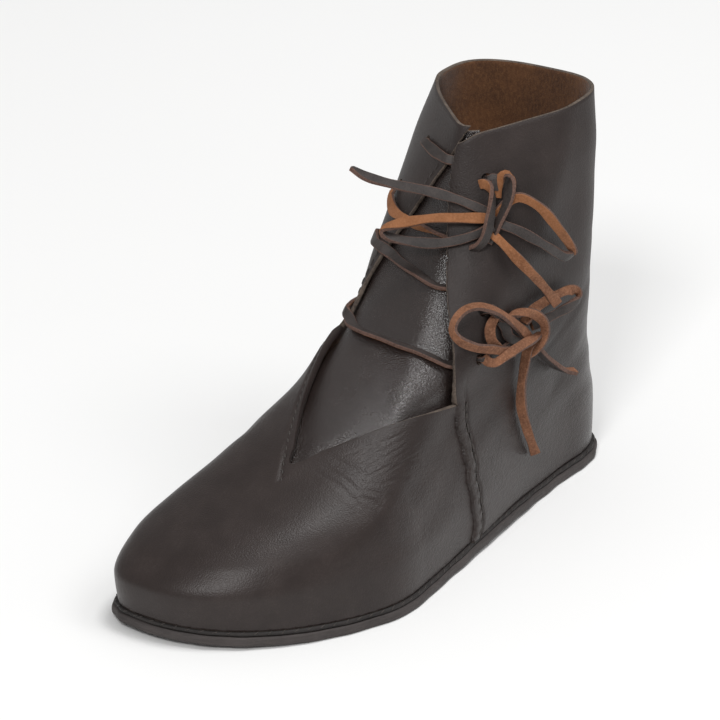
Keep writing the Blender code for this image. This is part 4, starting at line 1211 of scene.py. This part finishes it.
# bows: x, y, z in mm in the last's frame, and the roll of the strip's grain face from the viewer
bowSpec = {
    "facing": (0.53, -0.72, 0.45),
    "upperLoopFront": ((23, 52.5, 145, 170), (20, 50, 145.5, 178), (11, 42, 146, 185), (1, 37, 145, 190),
                       (-10, 32, 142, 205), (-18, 28, 139, 240), (-20, 27, 137, 275), (-17, 27, 135, 310),
                       (-8, 30, 134, 345), (3, 35, 134, 360), (12, 40, 136, 365), (19, 46, 139, 370),
                       (23.5, 52, 142, 370)),
    "upperLoopBack": ((22, 55.9, 144, 200), (24, 59.1, 149, 215), (27, 62, 152.5, 220),
                      (31, 65, 153, 215), (37, 71, 147, 205), (40, 79, 136, 200), (40, 89, 124, 215),
                      (39, 93, 118, 265), (39, 86, 119, 320), (38, 75, 127, 350), (36, 66, 134, 360),
                      (31, 60, 139, 365), (26.8, 56.5, 141.3, 365), (22, 54, 143.5, 365)),
    "upperEndFront": ((21.5, 54, 146, 0), (18, 51.6, 148.3, 0), (12.8, 48, 151.3, 0),
                      (6.7, 45.2, 153.5, 0), (-5, 40, 156, 5), (-20, 35, 157, 10), (-32, 32, 158.5, 40),
                      (-40, 31, 161, 80)),
    "upperEndBack": ((21.5, 51.5, 139.5, 180), (24.5, 51.5, 137.5, 180), (28.8, 52.8, 134, 185),
                     (34.2, 55.2, 128, 190), (38.8, 59.5, 120.8, 190), (40.2, 68, 111, 186),
                     (41, 78, 98.8, 180)),
    "lowerLoopFront": ((36.9, 65.1, 82.4, 190), (38.2, 59, 88.6, 205), (39.2, 51.5, 95.8, 220),
                       (39.3, 41.4, 104.7, 230), (38, 33.5, 111, 236), (35, 25, 115.3, 238),
                       (31.1, 20, 114.2, 236), (30, 14.3, 111, 232), (30.5, 12, 106.5, 228),
                       (33.9, 13.1, 102.4, 224), (37.2, 20.5, 97.3, 220), (39.6, 30.1, 93.5, 214),
                       (39.1, 39.7, 88.8, 206), (37.9, 49.5, 84.7, 195)),
    "lowerLoopBack": ((36.6, 58.2, 95.1, 150), (37.6, 64, 99.5, 165), (37.1, 72.3, 100.1, 178),
                      (37.6, 80.7, 100.5, 185), (38.3, 89.9, 100.2, 195), (39.2, 96, 98, 230),
                      (40, 97, 94.5, 275), (39.5, 92, 92.5, 320), (39.1, 82, 92.2, 350),
                      (37.9, 71.5, 91.8, 360), (36.5, 64.4, 91.5, 360)),
    "lowerEndDown": ((37.8, 63.8, 84.4, 180), (39, 58.5, 83.5, 195), (38.6, 57.6, 79, 205),
                     (38, 56.6, 72, 208), (38.1, 55, 64, 208), (38.8, 54.3, 55, 205),
                     (39.4, 57.5, 44, 200), (39.4, 61.5, 35, 190), (39.3, 64.8, 28, 180)),
    "lowerEndBack": ((36.8, 65.2, 82.9, 40), (37.8, 67.9, 78.7, 50), (38, 74.8, 71.6, 60),
                     (38.2, 83, 64.3, 80), (37.9, 90.6, 59.4, 100), (38.8, 96.6, 57, 120)),
}
bowNodes = {
    "upperLoopFront": ("upper_loop_front", "knot"), "upperLoopBack": ("upper_loop_back", "knot"),
    "upperEndFront": ("upper_end_front", "bare"), "upperEndBack": ("upper_end_back", "bare"),
    "lowerLoopFront": ("lower_loop_front", "knot"), "lowerLoopBack": ("lower_loop_back", "knot"),
    "lowerEndDown": ("lower_end_down", "bare"), "lowerEndBack": ("lower_end_back", "bare"),
}
knotSpec = {
    "upperKnot": (
        ((13.6, 56.0, 158.4, 190), (15.8, 55.9, 159.2, 200), (18.4, 56.1, 158.2, 235),
         (20.9, 54.9, 155.4, 290), (22.5, 52.2, 151.1, 315), (23.4, 49.5, 146.6, 318),
         (24.1, 47.1, 142.0, 318), (23.3, 45.4, 137.4, 318), (20.7, 44.1, 133.7, 300),
         (17.8, 44.2, 132.0, 280)),
        ((23.4, 52.1, 137.6, -30), (24.7, 53.3, 141.9, -35), (26.0, 55.8, 147.0, -40),
         (26.7, 58.7, 152.4, -45), (26.6, 61.2, 157.7, -55), (25.5, 63.2, 161.5, -80),
         (22.8, 63.5, 163.1, -120), (20.3, 62.6, 161.2, -150), (19.5, 61.2, 156.5, -170),
         (19.9, 59.8, 152.1, -180)),
    ),
    "lowerKnot": (
        ((34.9, 49.5, 101.1, 100), (36.9, 52.0, 102.3, 140), (39.3, 56.2, 102.0, 180),
         (40.7, 61.8, 99.1, 205), (41.9, 66.3, 94.2, 215), (42.0, 67.8, 88.9, 215),
         (41.7, 65.7, 84.8, 210), (40.3, 62.2, 81.2, 200), (38.6, 59.1, 79.4, 190)),
        ((38.6, 68.6, 86.4, 230), (41.1, 59.9, 88.1, 225), (43.0, 50.1, 89.7, 215),
         (42.3, 43.2, 89.0, 200), (41.6, 36.2, 87.9, 190), (40.1, 31.4, 86.5, 180),
         (37.8, 28.6, 87.6, 165), (35.7, 28.6, 89.5, 150)),
        ((33.5, 41.4, 104.4, 180), (34.2, 36.5, 102.6, 180), (35.2, 33.7, 99.5, 185),
         (36.9, 33.2, 95.7, 190), (37.4, 37.1, 91.2, 190)),
        ((34.1, 42.6, 101.6, 0), (36.0, 45.0, 97.4, 0), (36.7, 46.1, 93.3, 0), (37.1, 52.6, 88.5, 0),
         (36.8, 62.1, 84.2, 0)),
    ),
}


def strand(rows, seed):
    rows = np.array(rows, float)
    path, carried = smoothPath(rows[:, :3], rows[:, 3], thongSize["step"])
    outs = np.tile(np.array(bowSpec["facing"]), (len(path), 1))
    widths = np.full(len(path), thongSize["bow"])
    return path, stripMesh(path, outs, carried[:, 0], widths, thongSize["bowThick"], seed)


def makeBows():
    knots = {}
    for k, (name, strands) in enumerate(knotSpec.items()):
        piece = stripPiece(name, [strand(rows, 3.0 + k + 0.7 * i)[1] for i, rows in enumerate(strands)])
        settle(piece, "knot_leather", name.replace("Knot", "_knot"))
        knots[name[:5]] = piece
    for k, (name, (node, ending)) in enumerate(bowNodes.items()):
        path, made = strand(bowSpec[name], 6.0 + 1.3 * k)
        piece = stripPiece(name, [made])
        settle(piece, "thong_flesh", node)
        route = (path + stand) * mm
        held = [knots.pop(name[:5])] if name[:5] in knots else []  # each bow's first strand takes its knot off the list; nothing more is done with it


makeBows()

# stage: pale floor, soft light all round
stageSpec = {
    "floor": 7.0, "pale": (0.93, 0.93, 0.925), "worn": (0.84, 0.84, 0.83), "wornShare": 0.15, "rough": 0.9,
    "cloud": (3, 2, 0.5), "cloudSpan": (0.3, 0.7), "sky": (1.0, 1.0, 1.0), "skyStrength": 0.40,
    "aim": (0.0, 0.0, 0.07),  # where the lamps look, m
}
lampSpec = {
    # place in m, size in m, power in W
    "top": ((0.60, 0.42, 3.5), 0.95, 46.0),
    "side": ((2.00, 0.96, 3.0), 1.4, 21.0),
    "front": ((1.11, -2.57, 2.61), 0.8, 54.0),
}


def makeStage(spec, lamps):
    half = spec["floor"] / 2
    corners = [(-half, -half, 0), (half, -half, 0), (half, half, 0), (-half, half, 0)]
    mesh = bpy.data.meshes.new("studioFloor")
    mesh.from_pydata(corners, [], [(0, 1, 2, 3)])
    f = Finish("studioFloor")
    share = f.span(f.noise(*spec["cloud"]), *spec["cloudSpan"]) * spec["wornShare"]
    mesh.materials.append(f.done(f.blend(share, spec["pale"], spec["worn"]), spec["rough"]))
    floor = bpy.data.objects.new("studioFloor", mesh)
    bpy.context.collection.objects.link(floor)
    world = bpy.data.worlds.new("studioSky")
    world.use_nodes = True
    sky = world.node_tree.nodes["Background"]
    sky.inputs[0].default_value = (*spec["sky"], 1)
    sky.inputs[1].default_value = spec["skyStrength"]
    bpy.context.scene.world = world
    for name, (place, size, power) in lamps.items():
        data = bpy.data.lights.new(name + "Lamp", "AREA")
        data.size = size
        data.energy = power
        lamp = bpy.data.objects.new(name + "Lamp", data)
        lamp.location = place
        lamp.rotation_mode = "QUATERNION"
        lamp.rotation_quaternion = (Vector(spec["aim"]) - Vector(place)).to_track_quat("-Z", "Y")
        bpy.context.collection.objects.link(lamp)


makeStage(stageSpec, lampSpec)
bpy.context.scene.view_settings.view_transform = "Standard"
print("stage: floor and", len(lampSpec), "lamps")
